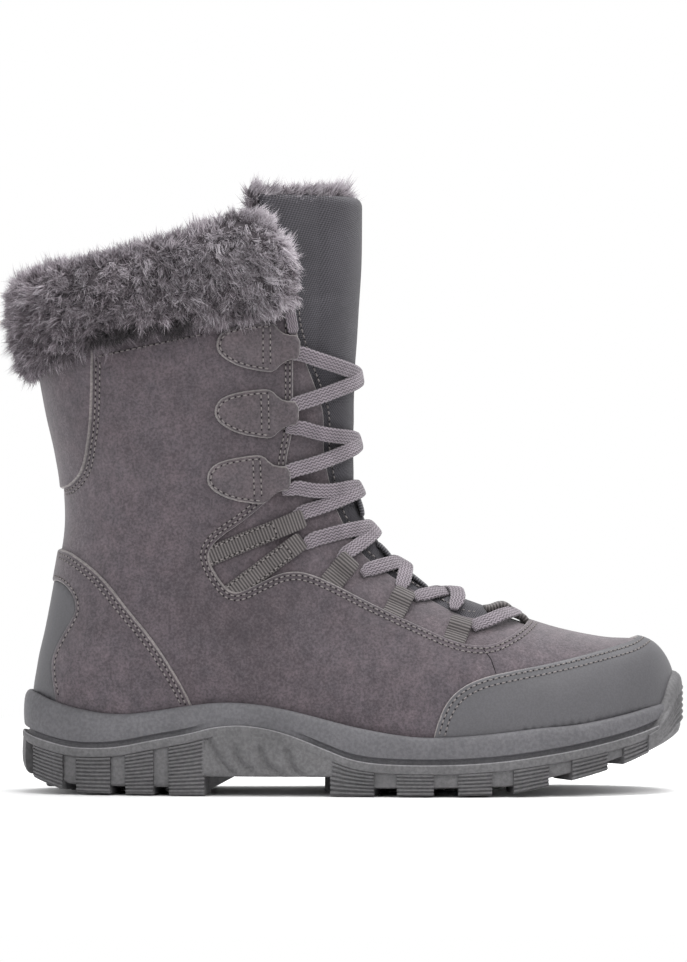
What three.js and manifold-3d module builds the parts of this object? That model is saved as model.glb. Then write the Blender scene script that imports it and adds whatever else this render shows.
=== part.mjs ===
// Snow boot for the right foot: rubber sole, suede upper, fur cuff, padded tongue and flat lace.
// X runs from heel to toe, Y towards the inner side and Z up. The origin lies on the floor
// under the middle of the heel's flat.
import * as THREE from 'three';
import { mergeVertices } from 'three/addons/utils/BufferGeometryUtils.js';
import Module from 'manifold-3d';

const wasm = await Module();
wasm.setup();

// Driving sizes of the last and shaft, in millimetres
const footLength = 276;
const ballWidth = 100;
const heelWidth = 77;
const shaftWidth = 95;
const heelSetback = 27;

// Driving heights above the floor: footbed at the heel, instep bend, front of the shaft's top edge
const footbedHeight = 28;
const instepHeight = 100;
const collarHeight = 240;

// Walls and layers
const upperWall = 2;
const facingThickness = 1.5;
const tongueThickness = 8;
const insoleThickness = 4;
const overlayThickness = 1.4;
const tabThickness = 1.7;
const webbingThickness = 1.3;
const gap = 0.3;

// Sole
const soleMargin = 6;
const midsoleMargin = 5.2;
const lugDepth = 8.5;
const lugReach = 18;
const ribDepth = 0.9;
const grooveDepth = 1.6;

// Lace, webbing and fur
const laceWidth = 6.5;
const laceThickness = 2;
const laceClearance = 0.9;
const loopHalfWidth = 6;
const cuffDepth = 10.5;
const cuffRoll = 9;
const lockLength = 4.5;
const lockRadius = 6.5;

// Facets around a section of the upper, and around the sole
const facets = 20;
const soleFacets = 36;

const farOut = 400;

// Side-view place: along is a share of footLength from the back of the heel, and level counts
// 0 floor, 1 footbed under the heel, 2 instep bend and 3 front of the shaft's top edge
const levels = [0, footbedHeight, instepHeight, collarHeight];

function place(along, level) {
  const zone = Math.min(Math.max(Math.floor(level), 0), 2);
  const height = levels[zone] + (level - zone) * (levels[zone + 1] - levels[zone]);
  return new THREE.Vector2(along * footLength - heelSetback, height);
}

function outline(rows) {
  return rows.map(([along, level]) => place(along, level));
}

// Sections of the upper. Each lies in the plane through its front point and its back point, across
// the boot. Columns: front along, front level, back along, back level, middle, outer half width,
// inner half width, height share of the widest place, roundness towards front and back.
function sections(width, rows) {
  return rows.map((row) => {
    const front = place(row[0], row[1]);
    const back = place(row[2], row[3]);
    const widths = [row[4] * width, row[5] * width, row[6] * width];
    return [front.x, front.y, back.x, back.y, ...widths, row[7], row[8], row[9]];
  });
}

const toeSections = sections(ballWidth, [
  [1.0, 1.19, 1.0, 1.19, 0.06, 0, 0, 0.4, 2, 2],
  [0.997, 1.325, 0.997, 1.03, 0.06, 0.1, 0.1, 0.4, 2, 2],
  [0.985, 1.43, 0.985, 0.9, 0.06, 0.18, 0.18, 0.4, 2.1, 2.4],
  [0.967, 1.5, 0.967, 0.75, 0.055, 0.255, 0.26, 0.38, 2.3, 3],
  [0.943, 1.53, 0.942, 0.68, 0.05, 0.31, 0.32, 0.36, 2.4, 3.4],
  [0.896, 1.54, 0.895, 0.54, 0.04, 0.39, 0.405, 0.36, 2.4, 4],
  [0.839, 1.58, 0.837, 0.43, 0.025, 0.45, 0.46, 0.36, 2.3, 4],
  [0.783, 1.64, 0.779, 0.36, 0.012, 0.48, 0.485, 0.35, 2.2, 4],
  [0.721, 1.72, 0.7065, 0.32, 0.003, 0.495, 0.495, 0.34, 2.1, 4],
  [0.651, 1.81, 0.612, 0.34, 0, 0.5, 0.465, 0.33, 2, 4],
  [0.611, 1.883, 0.533, 0.39, 0, 0.475, 0.425, 0.32, 1.9, 4],
  [0.58, 1.979, 0.442, 0.5, 0, 0.445, 0.385, 0.32, 1.8, 3.8],
]);

const heelSections = sections(heelWidth, [
  [0.553, 2.04, 0.333, 0.64, 0, 0.552, 0.475, 0.33, 1.8, 3.4],
  [0.531, 2.104, 0.225, 0.71, 0, 0.526, 0.474, 0.36, 1.85, 3],
  [0.516, 2.175, 0.116, 0.71, 0, 0.513, 0.487, 0.4, 1.9, 2.8],
  [0.507, 2.236, 0.036, 0.89, 0, 0.506, 0.494, 0.42, 1.95, 2.6],
  [0.504, 2.282, -0.001, 1.14, 0, 0.506, 0.5, 0.43, 2, 2.4],
  [0.501, 2.336, 0.003, 1.374, 0, 0.506, 0.5, 0.44, 2.05, 2.3],
  [0.499, 2.393, 0.016, 1.604, 0, 0.506, 0.506, 0.45, 2.1, 2.2],
  [0.499, 2.443, 0.03, 1.883, 0, 0.513, 0.513, 0.46, 2.1, 2.2],
]);

const shaftSections = sections(shaftWidth, [
  [0.499, 2.493, 0.042, 2.093, 0, 0.426, 0.426, 0.46, 2.1, 2.2],
  [0.5, 2.55, 0.041, 2.214, 0, 0.437, 0.437, 0.46, 2.1, 2.2],
  [0.501, 2.607, 0.033, 2.336, 0, 0.447, 0.447, 0.47, 2.15, 2.2],
  [0.504, 2.686, 0.018, 2.464, 0, 0.463, 0.463, 0.47, 2.15, 2.2],
  [0.507, 2.786, 0.004, 2.621, 0, 0.479, 0.479, 0.47, 2.15, 2.2],
  [0.511, 2.914, -0.013, 2.793, 0, 0.493, 0.493, 0.47, 2.15, 2.2],
  [0.512, 3.04, -0.025, 2.943, 0, 0.5, 0.5, 0.47, 2.15, 2.2],
  [0.512, 3.25, -0.044, 3.157, 0, 0.505, 0.505, 0.47, 2.15, 2.2],
]);

const sectionRows = [...toeSections, ...heelSections, ...shaftSections];
const lastSection = sectionRows.length - 1;

// Smooth value of every column between two rows
function sectionAt(station) {
  const low = Math.min(Math.max(Math.floor(station), 0), lastSection - 1);
  const t = station - low;
  const rows = [low - 1, low, low + 1, low + 2].map(
    (index) => sectionRows[Math.min(Math.max(index, 0), lastSection)],
  );
  return rows[1].map((value, column) => {
    const before = rows[0][column];
    const after = rows[2][column];
    const beyond = rows[3][column];
    const slope = after - before;
    const bend = 2 * before - 5 * value + 4 * after - beyond;
    const twist = 3 * value - before - 3 * after + beyond;
    return value + 0.5 * t * (slope + t * (bend + t * twist));
  });
}

// Point of the upper's outer surface: angle 0 is the front line, half a turn the back line, and
// the outer side of the boot lies between them on the first half turn
function surfacePoint(station, angle) {
  const [fx, fz, bx, bz, middle, outer, inner, widest, crown, base] = sectionAt(station);
  const cosine = Math.cos(angle);
  const sine = Math.sin(angle);
  const power = 2 / (cosine > 0 ? crown : base);
  const reach = Math.abs(cosine) ** power;
  const share = cosine > 0 ? widest + (1 - widest) * reach : widest - widest * reach;
  const half = sine > 0 ? -outer : inner;
  const y = middle + half * Math.abs(sine) ** power;
  return new THREE.Vector3(bx + (fx - bx) * share, y, bz + (fz - bz) * share);
}

function surfaceNormal(station, angle) {
  const stationStep = 0.05;
  const angleStep = 0.03;
  const low = Math.max(station - stationStep, 0.05);
  const high = Math.min(station + stationStep, lastSection);
  const along = surfacePoint(high, angle).sub(surfacePoint(low, angle));
  const around = surfacePoint(station, angle + angleStep).sub(
    surfacePoint(station, angle - angleStep),
  );
  return along.cross(around).normalize();
}

function skinPoint(station, angle, offset) {
  const normal = surfaceNormal(station, angle);
  return surfacePoint(station, angle).addScaledVector(normal, offset);
}

// Station and angle of the surface point that shows at a place of the side view
function locate(point) {
  const miss = (station) => {
    const [fx, fz, bx, bz] = sectionAt(station);
    return (fx - bx) * (point.y - bz) - (fz - bz) * (point.x - bx);
  };
  let low = 0.5;
  const step = 0.25;
  while (low + step < lastSection && miss(low) * miss(low + step) > 0) {
    low += step;
  }
  let high = low + step;
  for (let round = 0; round < 30; round += 1) {
    const middle = (low + high) / 2;
    if (miss(low) * miss(middle) > 0) {
      low = middle;
    } else {
      high = middle;
    }
  }
  const [fx, fz, bx, bz, , , , widest, crown, base] = sectionAt(low);
  const length = (fx - bx) ** 2 + (fz - bz) ** 2;
  const raw = ((point.x - bx) * (fx - bx) + (point.y - bz) * (fz - bz)) / length;
  const share = Math.min(Math.max(raw, 0), 1);
  const cosine = share > widest
    ? ((share - widest) / (1 - widest)) ** (crown / 2)
    : -(((widest - share) / widest) ** (base / 2));
  return { station: low, angle: Math.acos(cosine) };
}

// Solids from rings of points
function signedVolume(points, triangles) {
  let sum = 0;
  for (const [a, b, c] of triangles) {
    sum += points[a].dot(new THREE.Vector3().crossVectors(points[b], points[c]));
  }
  return sum;
}

function solidFrom(points, triangles) {
  const outward = signedVolume(points, triangles) > 0;
  const order = triangles.map(([a, b, c]) => (outward ? [a, b, c] : [a, c, b]));
  const geometry = new THREE.BufferGeometry();
  geometry.setAttribute(
    'position',
    new THREE.Float32BufferAttribute(points.flatMap((p) => [p.x, p.y, p.z]), 3),
  );
  geometry.setIndex(order.flat());
  return solidOf(geometry);
}

function solidOf(geometry) {
  geometry.deleteAttribute('normal');
  geometry.deleteAttribute('uv');
  const merged = mergeVertices(geometry, 1e-4);
  const vertProperties = new Float32Array(merged.getAttribute('position').array);
  const triVerts = new Uint32Array(merged.getIndex().array);
  return new wasm.Manifold(new wasm.Mesh({ numProp: 3, vertProperties, triVerts }));
}

// Loft through closed rings of equal count. The ends are closed by a point each, given or in the
// middle of the end ring, or by a flat outline that tells how to cut the end ring into triangles.
function loft(rings, { tip = null, flat = null } = {}) {
  const count = rings[0].length;
  const points = rings.flat();
  const triangles = [];
  for (let ring = 0; ring + 1 < rings.length; ring += 1) {
    for (let side = 0; side < count; side += 1) {
      const next = (side + 1) % count;
      const a = ring * count + side;
      const b = ring * count + next;
      triangles.push([a, b, b + count], [a, b + count, a + count]);
    }
  }
  const last = (rings.length - 1) * count;
  if (flat) {
    for (const [a, b, c] of THREE.ShapeUtils.triangulateShape(flat, [])) {
      triangles.push([a, c, b], [last + a, last + b, last + c]);
    }
    return solidFrom(points, fixedWinding(points, triangles, count));
  }
  const middle = (ring) => ring
    .reduce((sum, point) => sum.add(point), new THREE.Vector3())
    .divideScalar(count);
  points.push(tip ?? middle(rings[0]), middle(rings[rings.length - 1]));
  for (let side = 0; side < count; side += 1) {
    const next = (side + 1) % count;
    triangles.push([next, side, points.length - 2]);
    triangles.push([last + side, last + next, points.length - 1]);
  }
  return solidFrom(points, triangles);
}

// Turns the end triangles so that each shared edge runs both ways
function fixedWinding(points, triangles, count) {
  const edges = new Set(triangles.slice(0, triangles.length - 2 * (count - 2))
    .flatMap(([a, b, c]) => [`${a},${b}`, `${b},${c}`, `${c},${a}`]));
  const ends = triangles.slice(triangles.length - 2 * (count - 2));
  const clashes = ends.some(([a, b, c]) => (
    edges.has(`${a},${b}`) || edges.has(`${b},${c}`) || edges.has(`${c},${a}`)
  ));
  const sides = triangles.slice(0, triangles.length - 2 * (count - 2));
  return clashes ? [...sides, ...ends.map(([a, b, c]) => [a, c, b])] : triangles;
}

// Closed slab over a grid of stations and angles, between two offsets from the surface
function slab(stations, anglesAt, outerAt, innerAt) {
  const rows = stations.length;
  const columns = anglesAt(stations[0]).length;
  const points = [];
  for (const offsetAt of [outerAt, innerAt]) {
    for (const station of stations) {
      for (const angle of anglesAt(station)) {
        points.push(skinPoint(station, angle, offsetAt(station, angle)));
      }
    }
  }
  const sheet = rows * columns;
  const triangles = [];
  const quad = (a, b, c, d) => triangles.push([a, b, c], [a, c, d]);
  for (let row = 0; row + 1 < rows; row += 1) {
    for (let column = 0; column + 1 < columns; column += 1) {
      const a = row * columns + column;
      quad(a, a + 1, a + columns + 1, a + columns);
      quad(sheet + a, sheet + a + columns, sheet + a + columns + 1, sheet + a + 1);
    }
  }
  for (let row = 0; row + 1 < rows; row += 1) {
    const left = row * columns;
    const right = left + columns - 1;
    quad(left, left + columns, sheet + left + columns, sheet + left);
    quad(right, sheet + right, sheet + right + columns, right + columns);
  }
  for (let column = 0; column + 1 < columns; column += 1) {
    const low = column;
    const high = (rows - 1) * columns + column;
    quad(low, sheet + low, sheet + low + 1, low + 1);
    quad(high, high + 1, sheet + high + 1, sheet + high);
  }
  return solidFrom(points, triangles);
}

// Whole form of the upper, grown or shrunk by an offset. Its sections stand close where the form
// turns, and further apart up the shaft.
const forms = new Map();
const formStations = [
  1, 2, 3, 4, 5, 6, 7, 8, 9, 10, 11, 12, 13, 14, 15, 16, 17.5, 19, 21, 23.5, lastSection,
];

function form(offset) {
  const key = offset.toFixed(3);
  if (!forms.has(key)) {
    const rings = formStations.map((station) => (
      Array.from({ length: facets }, (_, side) => (
        skinPoint(station, (2 * Math.PI * side) / facets, offset)
      ))
    ));
    const tip = surfacePoint(0, 0).add(new THREE.Vector3(offset, 0, 0));
    forms.set(key, loft(rings, { tip }));
  }
  return forms.get(key);
}

function layer(inner, outer) {
  return form(outer).subtract(form(inner));
}

// Straight prism across the boot over a side-view outline
function across(points, from = -farOut, to = farOut) {
  const shape = new THREE.Shape(points);
  const geometry = new THREE.ExtrudeGeometry(shape, { depth: to - from, bevelEnabled: false });
  geometry.rotateX(Math.PI / 2);
  geometry.translate(0, to, 0);
  return solidOf(geometry);
}

function spread(from, to, count) {
  return Array.from({ length: count + 1 }, (_, index) => from + ((to - from) * index) / count);
}

function shifted(points, x, z) {
  return points.map((point) => new THREE.Vector2(point.x + x, point.y + z));
}

// Closed outline moved inwards by a small distance
function inset(points, distance) {
  const turn = THREE.ShapeUtils.isClockWise(points) ? -1 : 1;
  return points.map((point, index) => {
    const before = points[(index + points.length - 1) % points.length];
    const after = points[(index + 1) % points.length];
    const one = point.clone().sub(before).normalize();
    const two = after.clone().sub(point).normalize();
    const inward = new THREE.Vector2(-one.y - two.y, one.x + two.x);
    const spread = inward.length() / 2;
    return point.clone().addScaledVector(
      inward.normalize(),
      (turn * distance) / Math.max(spread, 0.4),
    );
  });
}

const outerSide = [-farOut, 0];
const innerSide = [0, farOut];
const sides = { outer: outerSide, inner: innerSide };

// Lines of the sole in the side view
const topEdge = outline([
  [-0.05, 1.24], [0, 1.229], [0.035, 1.158], [0.099, 1.096], [0.149, 1.089], [0.196, 1.114],
  [0.245, 1.146], [0.293, 1.165], [0.341, 1.158], [0.39, 1.128], [0.454, 1.065], [0.509, 1.011],
  [0.588, 0.896], [0.642, 0.896], [0.715, 0.95], [0.787, 1.017], [0.842, 1.029], [0.914, 1.083],
  [0.976, 1.147], [1.022, 1.18],
]);

const partingLine = outline([
  [-0.06, 1.06], [-0.022, 1.025], [0.004, 0.857], [0.053, 0.7], [0.085, 0.668], [0.133, 0.686],
  [0.193, 0.811], [0.245, 0.904], [0.277, 0.996], [0.309, 1.014], [0.341, 1.011],
  [0.39, 0.936], [0.454, 0.679], [0.509, 0.468], [0.607, 0.429], [0.715, 0.468],
  [0.824, 0.629], [0.896, 0.789], [0.947, 0.936],
]);

const bumperEdge = outline([
  [0.959, 1.023], [0.968, 1.1], [0.976, 1.156], [0.987, 1.253], [1.008, 1.36],
]);

const floorLine = outline([
  [-0.06, 1.04], [0, 1.035], [0.054, 1.007], [0.098, 1], [0.188, 1.004], [0.243, 1.028],
  [0.308, 1.056], [0.341, 1.05], [0.391, 1.018], [0.453, 0.857], [0.507, 0.696], [0.605, 0.625],
  [0.714, 0.661], [0.822, 0.814], [0.895, 0.964], [0.946, 1.042], [1.03, 1.1],
]);

const treadLine = outline([
  [-0.06, 0.9], [-0.025, 0.714], [-0.017, 0.464], [0.001, 0.279], [0.044, 0.093], [0.0725, 0],
  [0.725, 0], [0.769, 0.093], [0.851, 0.279], [0.911, 0.464], [0.954, 0.654], [0.992, 0.839],
  [1.014, 1.01], [1.03, 1.2],
]);

function heightOn(line, x) {
  const last = line.length - 1;
  const next = Math.min(Math.max(line.findIndex((point) => point.x > x), 1), last);
  const index = x >= line[last].x ? last : next;
  const a = line[index - 1];
  const b = line[index];
  const share = Math.min(Math.max((x - a.x) / (b.x - a.x), 0), 1);
  return a.y + (b.y - a.y) * share;
}

// Where the upper's side meets the sole's top edge, from the heel round the outer side to the toe
// and back along the inner side
function seatLine() {
  const heights = (station, angle) => {
    const point = surfacePoint(station, angle);
    return point.z - heightOn(topEdge, point.x);
  };
  const meet = (station, from, to) => {
    let above = from;
    let below = to;
    for (let round = 0; round < 30; round += 1) {
      const middle = (above + below) / 2;
      if (heights(station, middle) > 0) {
        above = middle;
      } else {
        below = middle;
      }
    }
    return surfacePoint(station, above);
  };
  const toeStation = 1;
  const step = 0.5;
  const outer = [];
  const inner = [];
  let station = toeStation;
  while (station < lastSection && heights(station, Math.PI) < 0) {
    outer.push(meet(station, 0, Math.PI));
    inner.push(meet(station, 2 * Math.PI, Math.PI));
    station += step;
  }
  let heelStation = station - step;
  for (let round = 0; round < 20; round += 1) {
    const middle = (heelStation + station) / 2;
    if (heights(middle, Math.PI) < 0) {
      heelStation = middle;
    } else {
      station = middle;
    }
  }
  const heel = surfacePoint(heelStation, Math.PI);
  const toe = surfacePoint(0, 0);
  const loop = [heel, ...outer.reverse(), toe, ...inner];
  return loop.map((point) => new THREE.Vector3(point.x, point.y, 0));
}

const seat = new THREE.CatmullRomCurve3(seatLine(), true, 'centripetal');

// Point and outward direction of the seat line at a share of its length
function seatAt(share) {
  const turn = ((share % 1) + 1) % 1;
  const point = seat.getPointAt(turn);
  const tangent = seat.getTangentAt(turn);
  return { point, outward: new THREE.Vector3(tangent.y, -tangent.x, 0) };
}

function seatPoint(share, margin) {
  const { point, outward } = seatAt(share);
  return point.addScaledVector(outward, margin);
}

// Share of the seat line where it passes a place along the boot on one side
function seatShare(x, side) {
  let [low, high] = side === 'outer' ? [0.02, 0.5] : [0.98, 0.5];
  for (let round = 0; round < 30; round += 1) {
    const middle = (low + high) / 2;
    if (seatAt(middle).point.x < x) {
      low = middle;
    } else {
      high = middle;
    }
  }
  return low;
}

// Solid of stacked rings around the seat line: rows of margin and height function
function soleStack(rows) {
  const count = soleFacets;
  const rings = rows.map(([margin, heightAt]) => (
    Array.from({ length: count }, (_, side) => {
      const point = seatPoint(side / count, margin);
      return point.setZ(heightAt(point.x));
    })
  ));
  const points = rings.flat();
  const triangles = [];
  for (let ring = 0; ring + 1 < rings.length; ring += 1) {
    for (let side = 0; side < count; side += 1) {
      const next = (side + 1) % count;
      const a = ring * count + side;
      const b = ring * count + next;
      triangles.push([a, b, b + count], [a, b + count, a + count]);
    }
  }
  const cap = (start, flip) => {
    for (let side = 0; side < count / 2; side += 1) {
      const a = start + side;
      const b = start + side + 1;
      const c = start + ((count - side - 1) % count);
      const d = start + ((count - side) % count);
      const faces = [[a, b, c], [a, c, d]].filter((face) => new Set(face).size === 3);
      for (const [p, q, r] of faces) {
        triangles.push(flip ? [p, r, q] : [p, q, r]);
      }
    }
  };
  cap(0, true);
  cap((rings.length - 1) * count, false);
  return solidFrom(points, triangles);
}

const partingAt = (x) => heightOn(partingLine, x);
const topAt = (x) => heightOn(topEdge, x);
const treadAt = (x) => heightOn(treadLine, x);

// Region of the side view that the midsole holds: over the parting line, behind the toe bumper
const midsoleRegion = [
  ...partingLine,
  ...bumperEdge,
  new THREE.Vector2(bumperEdge[bumperEdge.length - 1].x, farOut),
  new THREE.Vector2(-farOut, farOut),
  new THREE.Vector2(-farOut, partingLine[0].y),
];
const partingClearance = 0.4;
const midsoleClearRegion = [
  ...shifted(partingLine, 0, -partingClearance),
  ...shifted(bumperEdge, partingClearance, 0),
  new THREE.Vector2(bumperEdge[bumperEdge.length - 1].x + partingClearance, farOut),
  new THREE.Vector2(-farOut, farOut),
  new THREE.Vector2(-farOut, partingLine[0].y - partingClearance),
];

function aboveFloor(clearance) {
  const line = shifted(floorLine, 0, clearance);
  return across([
    ...line,
    new THREE.Vector2(farOut, line[line.length - 1].y),
    new THREE.Vector2(farOut, farOut),
    new THREE.Vector2(-farOut, farOut),
    new THREE.Vector2(-farOut, line[0].y),
  ]);
}

// Midsole wall, from the parting line to the top edge. Columns: share of the wall's height, margin
// as a share of midsoleMargin.
const midsoleWall = [
  [-0.35, 0.7], [0.05, 0.86], [0.17, 0.66], [0.32, 0.98], [0.8, 0.96], [1, 0.62],
];

function midsole() {
  const body = soleStack(midsoleWall.map(([share, margin]) => [
    margin * midsoleMargin,
    (x) => partingAt(x) + share * (topAt(x) - partingAt(x)),
  ]));
  const cavity = form(gap).intersect(aboveFloor(0));
  return body.intersect(across(midsoleRegion)).subtract(cavity);
}

// Lug between two places along the boot, with ribs across its outer face. Its base can stand
// above the tread line by a share of lugDepth.
const ribCrest = 0.35;
const ribValley = 0.85;
const lugRoot = 2;

function lugFace(ribs) {
  const face = [[soleMargin - ribDepth, 0]];
  for (let rib = 0; rib < ribs; rib += 1) {
    face.push([soleMargin, (rib + ribCrest) / ribs]);
    face.push([soleMargin - ribDepth, (rib + ribValley) / ribs]);
  }
  if (ribs === 0) {
    face.push([soleMargin - ribDepth / 2, 0.15], [soleMargin, 0.6]);
  }
  return [...face, [soleMargin - ribDepth, 1], [-lugReach, 1], [-lugReach, 0]];
}

function lug(from, to, side, ribs, lift) {
  const start = seatShare(from, side);
  const end = seatShare(to, side);
  const face = lugFace(ribs);
  const flat = face.map(([margin, share]) => new THREE.Vector2(margin, share * lugReach));
  const cuts = ribs === 0 ? 3 : 1;
  const rings = spread(start, end, cuts).map((share) => (
    face.map(([margin, rise]) => {
      const point = seatPoint(share, margin);
      const base = treadAt(point.x) + lift * lugDepth;
      return point.setZ(base + rise * (partingAt(point.x) - lugRoot - base));
    })
  ));
  return loft(rings, { flat });
}

// Side lugs. Columns: from along, to along, ribs, lift of the base as a share of lugDepth.
const lugRows = [
  [0.013, 0.053, 3, 0],
  [0.0725, 0.123, 3, 0],
  [0.147, 0.19, 4, 0],
  [0.214, 0.269, 4, 0],
  [0.262, 0.47, 0, 1],
  [0.464, 0.532, 3, 0],
  [0.568, 0.6225, 3, 0],
  [0.66, 0.711, 3, 0],
  [0.744, 0.796, 3, 0],
  [0.831, 0.884, 3, 0],
  [0.909, 0.947, 3, 0],
];

// Bumper and heel block run round the ends of the sole. Columns: margin as a share of
// soleMargin, share of the height.
const bumperFace = [
  [-3.33, 0], [-0.33, 0], [0.53, 0], [0.73, 0.12], [0.9, 0.2], [0.78, 0.3], [0.92, 0.38],
  [0.8, 0.48], [0.92, 0.56], [0.8, 0.66], [0.87, 0.74], [0.67, 0.9], [0.3, 1], [-0.67, 1],
  [-1.5, 0.5], [-3.33, 0.4],
];
const heelFace = [
  [-3.33, 0], [-0.17, 0], [0.77, 0], [1.03, 0.3], [1.1, 0.6], [1.02, 1], [-3.33, 1],
];

function endBlock(face, along, roundHeel, cuts, topHeight) {
  const x = place(along, 0).x;
  const outerEnd = seatShare(x, 'outer');
  const innerEnd = seatShare(x, 'inner') - (roundHeel ? 1 : 0);
  const flat = face.map(([margin, share]) => new THREE.Vector2(margin, share * lugReach));
  const rings = spread(outerEnd, innerEnd, cuts).map((share) => (
    face.map(([margin, rise]) => {
      const point = seatPoint(share, margin * soleMargin);
      const base = treadAt(point.x);
      return point.setZ(base + rise * (topHeight(point.x) - base));
    })
  ));
  return loft(rings, { flat });
}

// Tread bars across the middle of the sole, rooted a little way up in its web. Columns: along,
// half width as a share of ballWidth.
const barRoot = 2.4;
const barHalfLength = 0.024 * footLength;
const treadBars = [[0.1, 0.13], [0.17, 0.13], [0.24, 0.13], [0.5, 0.17], [0.595, 0.2], [0.687, 0.2]];

function treadBar([along, widthShare]) {
  const { x } = place(along, 0);
  const halfLength = barHalfLength;
  const halfWidth = widthShare * ballWidth;
  const sweep = 0.7 * halfLength;
  const shape = new THREE.Shape([
    new THREE.Vector2(x - halfLength - sweep, -halfWidth),
    new THREE.Vector2(x + halfLength - sweep, -halfWidth),
    new THREE.Vector2(x + halfLength, 0),
    new THREE.Vector2(x + halfLength - sweep, halfWidth),
    new THREE.Vector2(x - halfLength - sweep, halfWidth),
    new THREE.Vector2(x - halfLength, 0),
  ]);
  const depth = lugDepth + barRoot;
  return solidOf(new THREE.ExtrudeGeometry(shape, { depth, bevelEnabled: false }));
}

// Slanted grooves in the shank's side. Columns: top along, top level, bottom along, bottom level.
const shankGrooves = [
  [0.27, 0.99, 0.313, 0.33], [0.316, 0.71, 0.341, 0.39], [0.354, 0.71, 0.384, 0.34],
  [0.396, 0.69, 0.422, 0.28],
];
const grooveHalf = 1;

// Web over the lugs, set back from their faces, and the thin rim along the parting line.
// Rim columns: margin behind soleMargin, height over the parting line.
const webDrop = 3.5;
const webSetback = 3.8;
const rimRows = [[webSetback, -2.6], [0.2, -2.2], [0, -0.6], [0.4, 2]];
const bumperTop = 1.335;
const bumperStart = 0.93;
const heelBlockEnd = 0.02;

function outsole() {
  const ceiling = (x) => Math.min(treadAt(x) + lugDepth, partingAt(x) - webDrop);
  let body = soleStack([
    [soleMargin - webSetback, ceiling],
    ...rimRows.map(([setback, rise]) => [soleMargin - setback, (x) => partingAt(x) + rise]),
  ]);
  for (const side of Object.keys(sides)) {
    for (const [from, to, ribs, lift] of lugRows) {
      body = body.add(lug(place(from, 0).x, place(to, 0).x, side, ribs, lift));
    }
  }
  const bumperHeight = place(0, bumperTop).y;
  body = body.add(endBlock(bumperFace, bumperStart, false, 8, () => bumperHeight));
  body = body.add(endBlock(heelFace, heelBlockEnd, true, 6, partingAt));
  for (const bar of treadBars) {
    body = body.add(treadBar(bar));
  }
  const core = soleStack([
    [soleMargin - grooveDepth, () => -footbedHeight],
    [soleMargin - grooveDepth, () => 2 * instepHeight],
  ]);
  for (const [topAlong, topLevel, lowAlong, lowLevel] of shankGrooves) {
    const top = place(topAlong, topLevel);
    const low = place(lowAlong, lowLevel);
    const slot = across([
      ...shifted([top, low], -grooveHalf, 0),
      ...shifted([low, top], grooveHalf, 0),
    ]);
    body = body.subtract(slot.subtract(core));
  }
  const cavity = form(overlayThickness + 2 * gap).intersect(aboveFloor(0));
  return body.subtract(across(midsoleClearRegion)).subtract(cavity);
}

function insole() {
  const seatTop = shifted(floorLine, 0, gap + insoleThickness);
  const band = across([...shifted(floorLine, 0, gap), ...seatTop.reverse()]);
  return form(-upperWall - gap).intersect(band);
}

// Edge of the throat: front edge of the quarters, the cut-back over the webbing, and the vamp
const throatEdge = outline([
  [0.405, 3.4], [0.405, 2.407], [0.396, 2.335], [0.392, 2.267], [0.377, 2.208], [0.33, 2.127],
  [0.287, 2.071], [0.272, 2.03], [0.276, 1.98], [0.295, 1.865], [0.308, 1.822], [0.322, 1.816],
  [0.36, 1.889], [0.384, 1.931], [0.403, 1.943], [0.425, 1.937], [0.461, 1.883], [0.531, 1.744],
  [0.621, 1.586], [0.651, 1.538], [0.682, 1.507], [0.712, 1.507], [0.742, 1.556], [0.772, 1.635],
  [0.801, 1.762], [0.84, 2.1], [0.84, 3.4],
]);

const shaftTop = outline([[0.42, 3.035], [-0.1, 2.76]]);

function upper() {
  const line = shifted(floorLine, 0, gap);
  const region = across([
    ...line,
    new THREE.Vector2(farOut, line[line.length - 1].y),
    new THREE.Vector2(farOut, farOut),
    new THREE.Vector2(shaftTop[0].x, farOut),
    ...shaftTop,
    new THREE.Vector2(-farOut, shaftTop[1].y),
    new THREE.Vector2(-farOut, line[0].y),
  ]);
  return layer(-upperWall, 0).intersect(region).subtract(across(throatEdge));
}

// Free edge of the facing, and its tucked edge under the quarters and vamp
const facingFree = outline([
  [0.409, 2.79], [0.409, 2.734], [0.428, 2.616], [0.441, 2.553], [0.455, 2.478], [0.458, 2.438],
  [0.458, 2.332], [0.464, 2.282], [0.472, 2.204], [0.48, 2.151], [0.496, 2.095], [0.512, 2.042],
  [0.528, 2.01], [0.581, 1.883], [0.633, 1.775], [0.674, 1.695], [0.706, 1.695], [0.73, 1.8],
]);
const facingTuck = outline([
  [0.81, 2.1], [0.81, 1.7], [0.79, 1.53], [0.75, 1.42], [0.68, 1.39], [0.62, 1.46], [0.53, 1.62],
  [0.46, 1.76], [0.41, 1.83], [0.36, 1.77], [0.31, 1.7], [0.27, 1.79], [0.24, 1.97], [0.235, 2.07],
  [0.3, 2.17], [0.345, 2.26], [0.365, 2.36], [0.375, 2.45], [0.375, 2.79],
]);
const facingRegion = [...facingFree, ...facingTuck];
const facingOuter = -upperWall - gap;
const facingInner = facingOuter - facingThickness;

function facing() {
  return layer(facingInner, facingOuter).intersect(across(facingRegion));
}

// Height share, between a section's back and front points, where a side-view line crosses it
function shareOn(line, station) {
  const [fx, fz, bx, bz] = sectionAt(station);
  for (let index = 0; index + 1 < line.length; index += 1) {
    const a = line[index];
    const b = line[index + 1];
    const ax = (fx - bx) * (a.y - bz) - (fz - bz) * (a.x - bx);
    const ay = (fx - bx) * (b.y - bz) - (fz - bz) * (b.x - bx);
    if (ax * ay <= 0 && ax !== ay) {
      const t = ax / (ax - ay);
      const x = a.x + (b.x - a.x) * t;
      const z = a.y + (b.y - a.y) * t;
      return ((x - bx) * (fx - bx) + (z - bz) * (fz - bz)) / ((fx - bx) ** 2 + (fz - bz) ** 2);
    }
  }
  return 0.85;
}

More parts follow.
